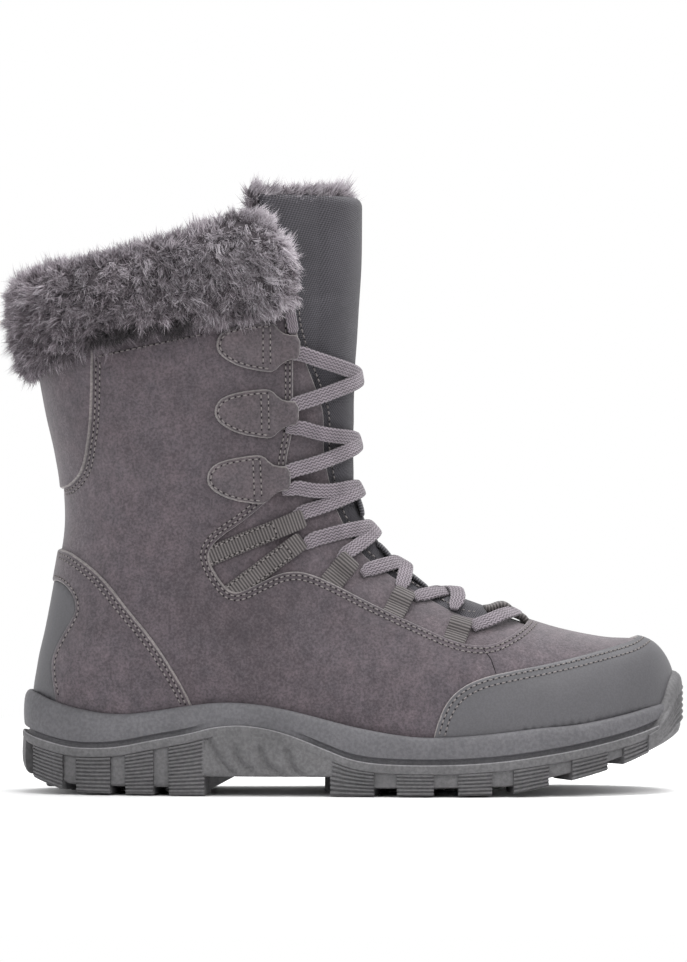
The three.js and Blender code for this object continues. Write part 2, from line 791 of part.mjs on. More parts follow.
function smooth(value) {
  const t = Math.min(Math.max(value, 0), 1);
  return t * t * (3 - 2 * t);
}

// The tongue's front stands level with the upper's form up the shaft, sinks to the facing over the
// instep, and runs under the facing at its toe end
const tongueEdgeOffset = facingInner - gap;
const tongueLow = facingOuter;
const tongueToeStation = 7.6;
const tongueSinkStation = 8.8;
const shaftStation = 14;
const tongueRiseStation = 19;

function tongueFront(station) {
  const rise = smooth((station - shaftStation) / (tongueRiseStation - shaftStation));
  const sink = 1 - smooth((station - tongueToeStation) / (tongueSinkStation - tongueToeStation));
  return tongueLow * (1 - rise) + (tongueEdgeOffset - tongueLow) * sink;
}

function tongueOffset(station, angle) {
  const [, , , , , , , widest, crown] = sectionAt(station);
  const edge = Math.min(shareOn(facingFree, station), 0.97);
  const share = widest + (1 - widest) * Math.abs(Math.cos(angle)) ** (2 / crown);
  const bulge = smooth((share - edge) / (0.8 * (1 - edge)));
  return tongueEdgeOffset + (tongueFront(station) - tongueEdgeOffset) * bulge;
}

const tongueTopStations = [23, 25, lastSection];

const tongueRegion = outline([
  [0.355, 3.129], [0.36, 2.75], [0.385, 2.62], [0.41, 2.5], [0.415, 2.3], [0.43, 2.15], [0.46, 2.03],
  [0.5, 1.93], [0.56, 1.77], [0.62, 1.63], [0.66, 1.57], [0.7, 1.565], [0.745, 1.6], [0.75, 1.9],
  [0.75, 2.3], [0.62, 2.6], [0.62, 3.129],
]);

// Behind this line the cuff and the quarters cover the tongue
const cuffSide = outline([[0.2, 2.7], [0.414, 2.7], [0.414, 3.4], [0.2, 3.4]]);

function tongue() {
  const stations = [6, 7.6, 8.2, 8.8, 10, 11, 12, 13, 14, 15.5, 17, 19, ...tongueTopStations];
  const angles = spread(-5, 5, 10).map((step) => (step * 2 * Math.PI) / facets);
  const pad = slab(stations, () => angles, tongueOffset, () => -tongueThickness);
  const covers = across(inset(facingRegion, -gap)).add(across(cuffSide));
  const clearance = layer(tongueEdgeOffset, overlayThickness).intersect(covers);
  return pad.intersect(across(tongueRegion)).subtract(clearance);
}

// Fur lining inside the tongue, which stands above its top edge
const tongueFurRegion = outline([[0.36, 2.8], [0.62, 2.8], [0.62, 3.18], [0.36, 3.18]]);
const tongueFurDepth = 5.5;

function tongueFur() {
  const angles = spread(-4, 4, 8).map((step) => (step * 2 * Math.PI) / facets);
  const outer = -tongueThickness - gap;
  const sheet = slab(tongueTopStations, () => angles, () => outer, () => outer - tongueFurDepth);
  return sheet.intersect(across(tongueFurRegion));
}

// Fur cuff lines in the side view
const cuffBottom = outline([
  [-0.2, 2.55], [-0.06, 2.55], [-0.003, 2.556], [0.093, 2.644], [0.207, 2.69], [0.265, 2.714],
  [0.381, 2.749], [0.5, 2.77],
]);
const cuffTop = outline([
  [-0.2, 2.84], [-0.033, 2.877], [0.024, 2.921], [0.099, 2.949], [0.175, 2.986], [0.232, 3.02],
  [0.289, 3.08], [0.34, 3.12], [0.5, 3.13],
]);

// Cuff section. Columns: share of the height, depth outwards as a share of cuffDepth or inwards
// as a share of cuffRoll.
const cuffSection = [
  [0.02, 0.1], [0, 0.6], [0.15, 1], [0.6, 1], [0.86, 0.85], [0.98, 0.42], [1, -0.2],
  [0.92, -0.9], [0.5, -0.85], [0.45, -0.1],
];
const cuffEndAngle = 0.84;
const cuffSteps = 18;

function cuffStation(line, angle) {
  let low = 16;
  let high = lastSection;
  for (let round = 0; round < 25; round += 1) {
    const middle = (low + high) / 2;
    const point = surfacePoint(middle, angle);
    if (point.z < heightOn(line, point.x)) {
      low = middle;
    } else {
      high = middle;
    }
  }
  return low;
}

function cuffPoint(turn, share, depth) {
  const angle = cuffEndAngle + turn * 2 * (Math.PI - cuffEndAngle);
  const bottom = cuffStation(cuffBottom, angle);
  const top = cuffStation(cuffTop, angle);
  const offset = depth * (depth > 0 ? cuffDepth : cuffRoll);
  return skinPoint(bottom + share * (top - bottom), angle, offset);
}

function random(seed) {
  const value = Math.sin(seed * 127.1 + 31.7) * 43758.5453;
  return value - Math.floor(value);
}

function lock(base, direction, length, radius) {
  const sideways = new THREE.Vector3(0.3, 0.5, 0.8).cross(direction).normalize();
  const upward = direction.clone().cross(sideways).normalize();
  const sunk = base.clone().addScaledVector(direction, -radius * 0.45);
  const corners = 3;
  const ring = Array.from({ length: corners }, (_, index) => {
    const angle = (2 * Math.PI * index) / corners;
    return sunk.clone()
      .addScaledVector(sideways, radius * Math.cos(angle))
      .addScaledVector(upward, radius * Math.sin(angle));
  });
  const tip = base.clone().addScaledVector(direction, length);
  const triangles = [[0, 1, 2]];
  for (let index = 0; index < corners; index += 1) {
    triangles.push([(index + 1) % corners, index, corners]);
  }
  return solidFrom([...ring, tip], triangles);
}

const cuffLocks = 34;

function collarFur() {
  const rings = spread(0, 1, cuffSteps).map((turn) => {
    const end = Math.min(turn, 1 - turn) * cuffSteps;
    const swell = end < 1 ? 0.55 + 0.35 * end : Math.min(0.9 + 0.1 * (end - 1), 1);
    return cuffSection.map(([share, depth]) => (
      cuffPoint(turn, 0.5 + (share - 0.5) * (0.4 + 0.6 * swell), depth * swell)
    ));
  });
  let cuff = loft(rings);
  for (let index = 0; index < cuffLocks; index += 1) {
    const turn = 0.02 + 0.96 * ((index * 0.618034) % 1);
    const share = 0.08 + 0.86 * random(index);
    const depth = share < 0.75 ? 0.95 : 0.8;
    const base = cuffPoint(turn, share, depth);
    const out = base.clone().sub(cuffPoint(turn, share, 0.3)).normalize();
    const lean = new THREE.Vector3(
      0.9 * (random(index + 200) - 0.5),
      0.9 * (random(index + 400) - 0.5),
      0.9 * (random(index + 600) - 0.5) + (share - 0.5) * 0.8,
    );
    const direction = out.add(lean).normalize();
    const length = lockLength * (0.6 + 0.4 * random(index + 800));
    cuff = cuff.add(lock(base, direction, length, lockRadius));
  }
  const edge = shifted(shaftTop, 0, gap);
  const belowEdge = across([
    new THREE.Vector2(farOut, edge[0].y), ...edge,
    new THREE.Vector2(-farOut, edge[1].y), new THREE.Vector2(-farOut, -farOut),
    new THREE.Vector2(farOut, -farOut),
  ]);
  const slot = layer(-upperWall - gap, gap).intersect(belowEdge);
  const belowCuff = across([
    ...cuffBottom, new THREE.Vector2(farOut, cuffBottom[cuffBottom.length - 1].y),
    new THREE.Vector2(farOut, -farOut), new THREE.Vector2(-farOut, -farOut),
    new THREE.Vector2(-farOut, cuffBottom[0].y),
  ]);
  const front = across(outline([[0.33, 2], [0.9, 2], [0.9, 4], [0.33, 4]]));
  const ahead = across(outline([[0.41, 2], [0.9, 2], [0.9, 4], [0.41, 4]]));
  return cuff
    .subtract(slot)
    .subtract(form(overlayThickness + 2 * gap).intersect(belowCuff))
    .subtract(form(tongueEdgeOffset + gap).intersect(front))
    .subtract(form(gap).intersect(ahead));
}

// Overlays between two forms of the upper
const overlayLayer = () => layer(gap, gap + overlayThickness);
const overlayGap = 0.36;
const seatClearance = 1.1;
const seatClear = shifted(topEdge, 0, seatClearance);

const toeCapSeam = outline([
  [0.619, 0.7], [0.622, 0.903], [0.635, 1.126], [0.657, 1.235], [0.693, 1.308], [0.752, 1.356],
  [0.824, 1.404], [0.896, 1.465], [0.943, 1.513], [0.97, 1.6], [0.97, 1.8],
]);
const counterSeam = outline([
  [-0.1, 2.05], [0.04, 2.047], [0.084, 1.986], [0.115, 1.877], [0.148, 1.713], [0.18, 1.568],
  [0.21, 1.404], [0.248, 1.15], [0.26, 0.9],
]);
const patchEdge = outline([
  [-0.1, 1.89], [0.03, 1.889], [0.051, 1.853], [0.066, 1.762], [0.065, 1.677], [0.048, 1.568],
  [0.03, 1.441], [0.027, 1.332], [0.035, 1.168], [0.04, 0.9],
]);
const panelSeam = outline([
  [-0.1, 2.208], [0.041, 2.214], [0.069, 2.26], [0.087, 2.341], [0.092, 2.494], [0.093, 2.62],
  [0.099, 2.9],
]);

function aboveSole() {
  return across([
    ...seatClear,
    new THREE.Vector2(farOut, seatClear[seatClear.length - 1].y),
    new THREE.Vector2(farOut, farOut),
    new THREE.Vector2(-farOut, farOut),
    new THREE.Vector2(-farOut, seatClear[0].y),
  ]);
}

function toeCap() {
  const last = toeCapSeam[toeCapSeam.length - 1];
  const region = [
    ...toeCapSeam, new THREE.Vector2(farOut, last.y), new THREE.Vector2(farOut, toeCapSeam[0].y),
  ];
  return overlayLayer().intersect(across(region)).intersect(aboveSole());
}

function behind(line) {
  return [...line, new THREE.Vector2(line[0].x, line[line.length - 1].y)];
}

function heelCounter() {
  const patch = shifted(patchEdge, overlayGap, overlayGap);
  return overlayLayer()
    .intersect(across(behind(counterSeam)))
    .intersect(aboveSole())
    .subtract(across(behind(patch)));
}

function heelPatch() {
  return overlayLayer().intersect(across(behind(patchEdge))).intersect(aboveSole());
}

function cuffCover(clearance) {
  const line = shifted(cuffBottom, 0, -clearance);
  return across([
    ...line, new THREE.Vector2(farOut, line[line.length - 1].y), new THREE.Vector2(farOut, farOut),
    new THREE.Vector2(-farOut, farOut), new THREE.Vector2(-farOut, line[0].y),
  ]);
}

const cuffClearance = 1;

function backPanel() {
  const region = [...panelSeam, new THREE.Vector2(panelSeam[0].x, panelSeam[panelSeam.length - 1].y)];
  return overlayLayer().intersect(across(region)).subtract(cuffCover(cuffClearance));
}

// Lace tab shape. Columns: share of footLength, share of the shaft's height, from its rear corner.
const tabShape = [
  [0, 0], [0.004, 0.028], [0.017, 0.047], [0.039, 0.063], [0.085, 0.073], [0.098, 0.055],
  [0.112, 0.047], [0.126, 0.044], [0.126, -0.014], [0.112, -0.028], [0.093, -0.065],
  [0.071, -0.07], [0.017, -0.046], [0.001, -0.021],
];

// Lace tabs. Columns: along and level of the rear corner, turn in radians.
const tabRows = [[0.283, 2.665, 0], [0.279, 2.465, 0.02], [0.269, 2.268, 0.05]];

function tab([along, level, turn], side) {
  const corner = place(along, level);
  const shaftHeight = collarHeight - instepHeight;
  const points = tabShape.map(([dx, dz]) => (
    new THREE.Vector2(dx * footLength, dz * shaftHeight)
      .rotateAround(new THREE.Vector2(), turn)
      .add(corner)
  ));
  return layer(gap, gap + tabThickness)
    .intersect(across(points, ...sides[side]))
    .subtract(cuffCover(cuffClearance));
}

// Webbing in the throat, on the facing
const throatClearance = 0.4;
const throatInside = () => across(inset(throatEdge, throatClearance));
const webbingInner = facingOuter + gap;
const webbingOuter = webbingInner + webbingThickness;

// Each outline goes round the webbing's four corners, in along and level
const strapUpper = outline([[0.25, 2.054], [0.401, 2.158], [0.428, 2.105], [0.25, 1.98]]);
const strapLower = outline([[0.325, 1.8], [0.296, 1.87], [0.377, 2.045], [0.409, 2.062]]);
const loopOutlines = [
  outline([[0.474, 2.021], [0.509, 1.98], [0.483, 1.84], [0.445, 1.9]]),
  outline([[0.561, 1.846], [0.592, 1.774], [0.578, 1.64], [0.54, 1.71]]),
  outline([[0.648, 1.683], [0.682, 1.616], [0.673, 1.49], [0.637, 1.55]]),
];

function webbing(points, side) {
  return layer(webbingInner, webbingOuter)
    .intersect(across(points, ...sides[side]))
    .intersect(throatInside());
}

// Loop over the lace at the toe end of the throat
const toeLoopOutline = outline([[0.728, 1.5], [0.728, 1.9], [0.796, 1.9], [0.796, 1.45]]);

const toeLoopClearance = 0.9;

function toeLoop() {
  const inner = tongueLow + laceClearance + laceThickness + toeLoopClearance;
  return layer(inner, inner + webbingThickness)
    .intersect(across(toeLoopOutline, -loopHalfWidth, loopHalfWidth));
}

// Webbing guides down the middle of the tongue. Columns: from station, to station.
const guideRows = [[13.85, 14.15], [11.85, 12.1], [9.9, 10.2]];

function angleAcross(station, y) {
  const [, , , , , outer, , , crown] = sectionAt(station);
  return Math.asin(Math.min(y / outer, 1) ** (crown / 2));
}

function tongueGuide([from, to]) {
  const stations = spread(from, to, 2);
  const anglesAt = (station) => {
    const end = angleAcross(station, loopHalfWidth);
    return spread(-end, end, 4);
  };
  return slab(
    stations,
    anglesAt,
    (station) => tongueFront(station) + gap + webbingThickness,
    (station) => tongueFront(station) + gap,
  );
}

// Lace strand from one side to the other over the middle of the tongue. The upper strand of a
// crossing rises over the lower one by a share of the lace's thickness.
const humpShare = 0.6;

function strand(start, middle, end, startSide, over) {
  const a = locate(start);
  const m = locate(middle);
  const b = locate(end);
  const steps = 8;
  const centres = [];
  const normals = [];
  for (let step = 0; step <= steps; step += 1) {
    const t = step / steps;
    const station = (1 - t) * (1 - 2 * t) * a.station + 4 * t * (1 - t) * m.station
      + t * (2 * t - 1) * b.station;
    const angle = startSide * (a.angle * (1 - t) - b.angle * t);
    normals.push(surfaceNormal(station, angle));
    const lift = tongueFront(Math.max(station, tongueSinkStation)) + laceClearance;
    const hump = over * laceThickness * humpShare * smooth(1.6 - 5 * Math.abs(t - 0.5));
    centres.push(skinPoint(station, angle, lift + hump + laceThickness / 2));
  }
  const rings = centres.map((centre, index) => {
    const before = centres[Math.max(index - 1, 0)];
    const after = centres[Math.min(index + 1, steps)];
    const wide = after.clone().sub(before).cross(normals[index]).normalize();
    const up = normals[index];
    const corner = (sideways, high) => centre.clone()
      .addScaledVector(wide, (sideways * laceWidth) / 2)
      .addScaledVector(up, (high * laceThickness) / 2);
    return [corner(-1, -1), corner(1, -1), corner(1, 1), corner(-1, 1)];
  });
  return loft(rings);
}

// Lace crossings. Columns: upper end, crossing on the front line, lower end, each as along and
// level on either side of the boot.
const laceRows = [
  [0.414, 2.64, 0.512, 2.581, 0.414, 2.49],
  [0.414, 2.405, 0.505, 2.376, 0.405, 2.285],
  [0.405, 2.215, 0.509, 2.229, 0.425, 2.155],
  [0.438, 2.07, 0.537, 2.12, 0.49, 2.03],
  [0.522, 1.955, 0.578, 2.005, 0.575, 1.865],
  [0.6, 1.8, 0.648, 1.822, 0.658, 1.74],
];

function laceCrossing(row) {
  const upperEnd = place(row[0], row[1]);
  const crossing = place(row[2], row[3]);
  const lowerEnd = place(row[4], row[5]);
  return strand(upperEnd, crossing, lowerEnd, 1, 0)
    .add(strand(upperEnd, crossing, lowerEnd, -1, 1));
}

const laceBarRow = [0.692, 1.63, 0.745, 1.71];

function laceBar() {
  const end = place(laceBarRow[0], laceBarRow[1]);
  return strand(end, place(laceBarRow[2], laceBarRow[3]), end, 1, 0);
}

// Materials: colour, roughness
const finishes = {
  rubber: ['#68686c', 0.75],
  midsole: ['#69696d', 0.7],
  board: ['#4c4a4d', 0.95],
  suede: ['#625960', 0.95],
  smooth: ['#6d6c70', 0.55],
  nylon: ['#54515a', 0.8],
  fur: ['#655e63', 1],
  webbing: ['#5e5a5b', 0.85],
  lace: ['#888088', 0.85],
};

const boot = new THREE.Group();

function addNode(name, solid, finish) {
  const mesh = solid.getMesh();
  const positions = new Float32Array(mesh.vertProperties);
  const triangles = new Uint32Array(mesh.triVerts);
  const geometry = new THREE.BufferGeometry();
  geometry.setAttribute('position', new THREE.BufferAttribute(positions, 3));
  geometry.setIndex(new THREE.BufferAttribute(triangles, 1));
  geometry.computeVertexNormals();
  const [color, roughness] = finishes[finish];
  const material = new THREE.MeshStandardMaterial({ color, roughness, metalness: 0 });
  const node = new THREE.Mesh(geometry, material);
  node.name = name;
  boot.add(node);
}

addNode('outsole', outsole(), 'rubber');
addNode('midsole', midsole(), 'midsole');
addNode('insole', insole(), 'board');
addNode('upper', upper(), 'suede');
addNode('facing', facing(), 'suede');
addNode('tongue', tongue(), 'nylon');
addNode('tongue_fur', tongueFur(), 'fur');
addNode('collar_fur', collarFur(), 'fur');
addNode('toe_cap', toeCap(), 'smooth');
addNode('heel_counter', heelCounter(), 'suede');
addNode('heel_patch', heelPatch(), 'smooth');
addNode('collar_back_panel', backPanel(), 'suede');
for (const side of Object.keys(sides)) {
  tabRows.forEach((row, index) => {
    addNode(`lace_tab_${side}_${index + 1}`, tab(row, side), 'suede');
  });
  addNode(`strap_upper_${side}`, webbing(strapUpper, side), 'webbing');
  addNode(`strap_lower_${side}`, webbing(strapLower, side), 'webbing');
  loopOutlines.forEach((points, index) => {
    addNode(`lace_loop_${side}_${index + 1}`, webbing(points, side), 'webbing');
  });
}
addNode('toe_loop', toeLoop(), 'webbing');
guideRows.forEach((row, index) => {
  addNode(`tongue_guide_${index + 1}`, tongueGuide(row), 'webbing');
});
laceRows.forEach((row, index) => {
  addNode(`lace_crossing_${index + 1}`, laceCrossing(row), 'lace');
});
addNode('lace_toe_bar', laceBar(), 'lace');

export default boot;
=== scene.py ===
import math

import bpy
import numpy as np
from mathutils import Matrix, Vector
from mathutils.geometry import delaunay_2d_cdt


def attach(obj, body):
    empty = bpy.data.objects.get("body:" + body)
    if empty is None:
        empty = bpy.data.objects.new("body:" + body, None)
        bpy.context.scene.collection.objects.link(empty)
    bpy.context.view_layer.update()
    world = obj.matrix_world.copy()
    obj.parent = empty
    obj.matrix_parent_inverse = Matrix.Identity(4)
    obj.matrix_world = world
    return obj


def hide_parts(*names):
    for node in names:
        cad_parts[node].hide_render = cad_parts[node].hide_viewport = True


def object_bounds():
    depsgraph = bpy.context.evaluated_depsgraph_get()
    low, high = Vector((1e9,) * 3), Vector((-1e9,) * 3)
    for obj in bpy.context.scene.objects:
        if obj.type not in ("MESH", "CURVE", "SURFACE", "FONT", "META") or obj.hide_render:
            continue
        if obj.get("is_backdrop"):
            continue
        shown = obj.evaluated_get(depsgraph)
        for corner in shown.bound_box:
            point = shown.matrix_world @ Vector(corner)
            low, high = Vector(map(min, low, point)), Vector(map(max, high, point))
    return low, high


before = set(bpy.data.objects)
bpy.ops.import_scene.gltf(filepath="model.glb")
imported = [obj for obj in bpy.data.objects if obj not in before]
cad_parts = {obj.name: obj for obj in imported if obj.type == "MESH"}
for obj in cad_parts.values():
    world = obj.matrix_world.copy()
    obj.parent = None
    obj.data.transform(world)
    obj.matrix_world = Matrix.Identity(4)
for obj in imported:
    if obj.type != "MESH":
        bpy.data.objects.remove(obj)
cad_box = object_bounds()

# Sizes in millimetres. X runs from heel to toe, Y towards the inner side, Z up.
MM = 0.001
FOOT_LENGTH = 276
BALL_WIDTH = 100
HEEL_WIDTH = 77
SHAFT_WIDTH = 95
HEEL_SETBACK = 27
LEVELS = np.array([0.0, 28.0, 100.0, 240.0])
UPPER_WALL = 2.0
GAP = 0.3
FACING = 1.5
TONGUE = 8.0
OVERLAY = 1.4
WEBBING = 1.3
LACE_WIDTH = 6.6
LACE_THICKNESS = 1.9
SOLE_MARGIN = 6.0
LUG_DEPTH = 8.5
LUG_REACH = 18.0
CUFF_DEPTH = 10.5
CUFF_ROLL = 9.0
FACING_OUTER = -UPPER_WALL - GAP
FACING_INNER = FACING_OUTER - FACING
TONGUE_EDGE = FACING_INNER - GAP
TAB_THICKNESS = 1.9
TUCK_UNDER = 0.4
STITCH_STEP = 0.8
BOTH = (1, -1)
FAR = 1e9


def foot_x(along):
    return np.asarray(along) * FOOT_LENGTH - HEEL_SETBACK


# Side-view places: along is a share of the foot's length, level counts floor, footbed, instep bend
# and the front of the shaft's top edge
def place(along, level):
    zone = np.clip(np.floor(level), 0, 2).astype(int)
    height = LEVELS[zone] + (level - zone) * (LEVELS[zone + 1] - LEVELS[zone])
    return np.stack([foot_x(along), height], -1)


def outline(rows):
    table = np.array(rows, float)
    return place(table[:, 0], table[:, 1])


def unit(vectors):
    return vectors / np.maximum(np.linalg.norm(vectors, axis=-1, keepdims=True), 1e-9)


def path_lengths(points):
    return np.concatenate([[0], np.cumsum(np.linalg.norm(np.diff(points, axis=0), axis=1))])


def sample(points, lengths, places):
    return np.stack([np.interp(places, lengths, column) for column in points.T], -1)


# Unit vectors at right angles to a flat line, on its right-hand side
def sideways(line):
    way = unit(np.gradient(line, axis=0))
    return np.stack([way[:, 1], -way[:, 0]], -1)


def smooth_step(value):
    t = np.clip(value, 0, 1)
    return t * t * (3 - 2 * t)


# Place in a bracket up to which is_below holds
def bisect(is_below, low, high):
    for _ in range(30):
        middle = (low + high) / 2
        below = is_below(middle)
        low, high = np.where(below, middle, low), np.where(below, high, middle)
    return low


# Sections of the upper. Columns: front along, front level, back along, back level, middle, outer
# half width, inner half width, share of the widest place, roundness towards front and back.
TOE_SECTIONS = [
    [1.0, 1.19, 1.0, 1.19, 0.06, 0, 0, 0.4, 2, 2],
    [0.997, 1.325, 0.997, 1.03, 0.06, 0.1, 0.1, 0.4, 2, 2],
    [0.985, 1.43, 0.985, 0.9, 0.06, 0.18, 0.18, 0.4, 2.1, 2.4],
    [0.967, 1.5, 0.967, 0.75, 0.055, 0.255, 0.26, 0.38, 2.3, 3],
    [0.943, 1.53, 0.942, 0.68, 0.05, 0.31, 0.32, 0.36, 2.4, 3.4],
    [0.896, 1.54, 0.895, 0.54, 0.04, 0.39, 0.405, 0.36, 2.4, 4],
    [0.839, 1.58, 0.837, 0.43, 0.025, 0.45, 0.46, 0.36, 2.3, 4],
    [0.783, 1.64, 0.779, 0.36, 0.012, 0.48, 0.485, 0.35, 2.2, 4],
    [0.721, 1.72, 0.7065, 0.32, 0.003, 0.495, 0.495, 0.34, 2.1, 4],
    [0.651, 1.81, 0.612, 0.34, 0, 0.5, 0.465, 0.33, 2, 4],
    [0.611, 1.883, 0.533, 0.39, 0, 0.475, 0.425, 0.32, 1.9, 4],
    [0.58, 1.979, 0.442, 0.5, 0, 0.445, 0.385, 0.32, 1.8, 3.8],
]
HEEL_SECTIONS = [
    [0.553, 2.04, 0.333, 0.64, 0, 0.552, 0.475, 0.33, 1.8, 3.4],
    [0.531, 2.104, 0.225, 0.71, 0, 0.526, 0.474, 0.36, 1.85, 3],
    [0.516, 2.175, 0.116, 0.71, 0, 0.513, 0.487, 0.4, 1.9, 2.8],
    [0.507, 2.236, 0.036, 0.89, 0, 0.506, 0.494, 0.42, 1.95, 2.6],
    [0.504, 2.282, -0.001, 1.14, 0, 0.506, 0.5, 0.43, 2, 2.4],
    [0.501, 2.336, 0.003, 1.374, 0, 0.506, 0.5, 0.44, 2.05, 2.3],
    [0.499, 2.393, 0.016, 1.604, 0, 0.506, 0.506, 0.45, 2.1, 2.2],
    [0.499, 2.443, 0.03, 1.883, 0, 0.513, 0.513, 0.46, 2.1, 2.2],
]
SHAFT_SECTIONS = [
    [0.499, 2.493, 0.042, 2.093, 0, 0.426, 0.426, 0.46, 2.1, 2.2],
    [0.5, 2.55, 0.041, 2.214, 0, 0.437, 0.437, 0.46, 2.1, 2.2],
    [0.501, 2.607, 0.033, 2.336, 0, 0.447, 0.447, 0.47, 2.15, 2.2],
    [0.504, 2.686, 0.018, 2.464, 0, 0.463, 0.463, 0.47, 2.15, 2.2],
    [0.507, 2.786, 0.004, 2.621, 0, 0.479, 0.479, 0.47, 2.15, 2.2],
    [0.511, 2.914, -0.013, 2.793, 0, 0.493, 0.493, 0.47, 2.15, 2.2],
    [0.512, 3.04, -0.025, 2.943, 0, 0.5, 0.5, 0.47, 2.15, 2.2],
    [0.512, 3.25, -0.044, 3.157, 0, 0.505, 0.505, 0.47, 2.15, 2.2],
]


def sections(width, rows):
    table = np.array(rows, float)
    front = place(table[:, 0], table[:, 1])
    back = place(table[:, 2], table[:, 3])
    return np.hstack([front, back, table[:, 4:7] * width, table[:, 7:]])


SECTIONS = np.vstack([
    sections(BALL_WIDTH, TOE_SECTIONS),
    sections(HEEL_WIDTH, HEEL_SECTIONS),
    sections(SHAFT_WIDTH, SHAFT_SECTIONS),
])
LAST = len(SECTIONS) - 1


def section_at(station):
    station = np.asarray(station, float)
    low = np.clip(np.floor(station), 0, LAST - 1).astype(int)
    t = (station - low)[..., None]
    p0, p1, p2, p3 = (SECTIONS[np.clip(low + k, 0, LAST)] for k in (-1, 0, 1, 2))
    bend = 2 * p0 - 5 * p1 + 4 * p2 - p3
    twist = 3 * p1 - p0 - 3 * p2 + p3
    return p1 + 0.5 * t * ((p2 - p0) + t * (bend + t * twist))


# Points of the upper's outer surface: angle 0 is the front line and pi the back line
def surface(station, angle):
    station, angle = np.broadcast_arrays(np.asarray(station, float), np.asarray(angle, float))
    fx, fz, bx, bz, middle, outer, inner, widest, crown, base = np.moveaxis(section_at(station), -1, 0)
    cosine, sine = np.cos(angle), np.sin(angle)
    power = 2 / np.where(cosine > 0, crown, base)
    reach = np.abs(cosine) ** power
    share = np.where(cosine > 0, widest + (1 - widest) * reach, widest - widest * reach)
    half = np.where(sine > 0, -outer, inner)
    y = middle + half * np.abs(sine) ** power
    return np.stack([bx + (fx - bx) * share, y, bz + (fz - bz) * share], -1)


def normal(station, angle):
    station, angle = np.broadcast_arrays(np.asarray(station, float), np.asarray(angle, float))
    low = np.clip(station - 0.05, 0.05, LAST)
    high = np.clip(station + 0.05, 0.1, LAST)
    along = surface(high, angle) - surface(low, angle)
    around = surface(station, angle + 0.03) - surface(station, angle - 0.03)
    return unit(np.cross(along, around))


# Creases and soft hollows. Columns: from along, from level, to along, to level, height in
# millimetres (below zero for a trough), half width, side (0 both, -1 outer, 1 inner).
CREASES = np.array([
    [0.07, 2.26, 0.2, 2.2, -0.9, 7, 0],
    [0.1, 2.36, 0.24, 2.3, 0.7, 7, 0],
    [0.16, 2.1, 0.24, 1.86, -0.8, 6, 0],
    [0.26, 1.72, 0.36, 1.5, -0.8, 8, -1],
    [0.34, 1.74, 0.42, 1.45, 0.6, 8, -1],
    [0.47, 1.62, 0.43, 1.25, -0.8, 7, 0],
    [0.53, 1.55, 0.5, 1.15, 0.7, 7, -1],
    [0.57, 1.48, 0.57, 1.12, -0.7, 6, 0],
    [0.62, 1.4, 0.6, 1.1, 0.5, 6, 1],
    [0.1, 2.75, 0.22, 2.62, -0.6, 9, -1],
    [0.16, 2.5, 0.23, 2.36, 0.5, 8, 1],
    [0.1, 1.5, 0.16, 1.25, 0.6, 10, 0],
    [0.8, 1.5, 0.76, 1.25, -0.3, 9, 0],
], float)
RIPPLES = np.random.default_rng(5).uniform(-1, 1, (14, 5))


def relief(points):
    x, y, z = points[..., 0], points[..., 1], points[..., 2]
    lift = np.zeros_like(x)
    for a0, l0, a1, l1, height, half, side in CREASES:
        start, end = place(a0, l0), place(a1, l1)
        way = end - start
        t = ((x - start[0]) * way[0] + (z - start[1]) * way[1]) / (way @ way)
        near = np.clip(t, 0, 1)
        off = np.hypot(x - start[0] - near * way[0], z - start[1] - near * way[1])
        mask = 1.0 if side == 0 else np.clip(0.5 + side * y / 20, 0, 1)
        lift = lift + height * np.exp(-((off / half) ** 2)) * mask
    for kx, ky, kz, phase, size in RIPPLES:
        lift = lift + 0.07 * size * np.sin(0.16 * (kx * x + ky * y + kz * z) + 3 * phase)
    return lift


def skin(station, angle, offset):
    base = surface(station, angle)
    return base + normal(station, angle) * (np.asarray(offset) + relief(base))[..., None]


# Station and angle of the surface points that show at places of the side view, and how far each
# place lies on the way from its section's back to its front
def locate(points):
    points = np.atleast_2d(points)
    grid = np.arange(0.25, LAST + 0.01, 0.25)

    def miss(stations, x, z):
        fx, fz, bx, bz = np.moveaxis(section_at(stations)[..., :4], -1, 0)
        return (fx - bx) * (z - bz) - (fz - bz) * (x - bx)

    x, z = points[:, 0], points[:, 1]
    values = miss(grid[None, :], x[:, None], z[:, None])
    turns = values[:, :-1] * values[:, 1:] <= 0
    first = np.where(turns.any(1), turns.argmax(1), len(grid) - 2)
    sign = miss(grid[first], x, z)
    station = bisect(lambda middle: sign * miss(middle, x, z) > 0, grid[first], grid[first + 1])
    fx, fz, bx, bz, _, _, _, widest, crown, base = np.moveaxis(section_at(station), -1, 0)
    raw = ((x - bx) * (fx - bx) + (z - bz) * (fz - bz)) / ((fx - bx) ** 2 + (fz - bz) ** 2)
    share = np.clip(raw, 0, 1)
    front = np.clip((share - widest) / (1 - widest), 0, 1) ** (crown / 2)
    back = -np.clip((widest - share) / widest, 0, 1) ** (base / 2)
    return station, np.arccos(np.where(share > widest, front, back)), raw


def densify(line, step):
    pieces = [line[:1]]
    for a, b in zip(line[:-1], line[1:]):
        count = max(int(np.ceil(np.linalg.norm(b - a) / step)), 1)
        pieces.append(a + (b - a) * np.linspace(0, 1, count + 1)[1:, None])
    return np.vstack(pieces)


def rounded(line, passes=2):
    for _ in range(passes):
        cut = np.empty((2 * len(line) - 2, 2))
        cut[0::2] = 0.75 * line[:-1] + 0.25 * line[1:]
        cut[1::2] = 0.25 * line[:-1] + 0.75 * line[1:]
        line = np.vstack([line[:1], cut, line[-1:]])
    return line


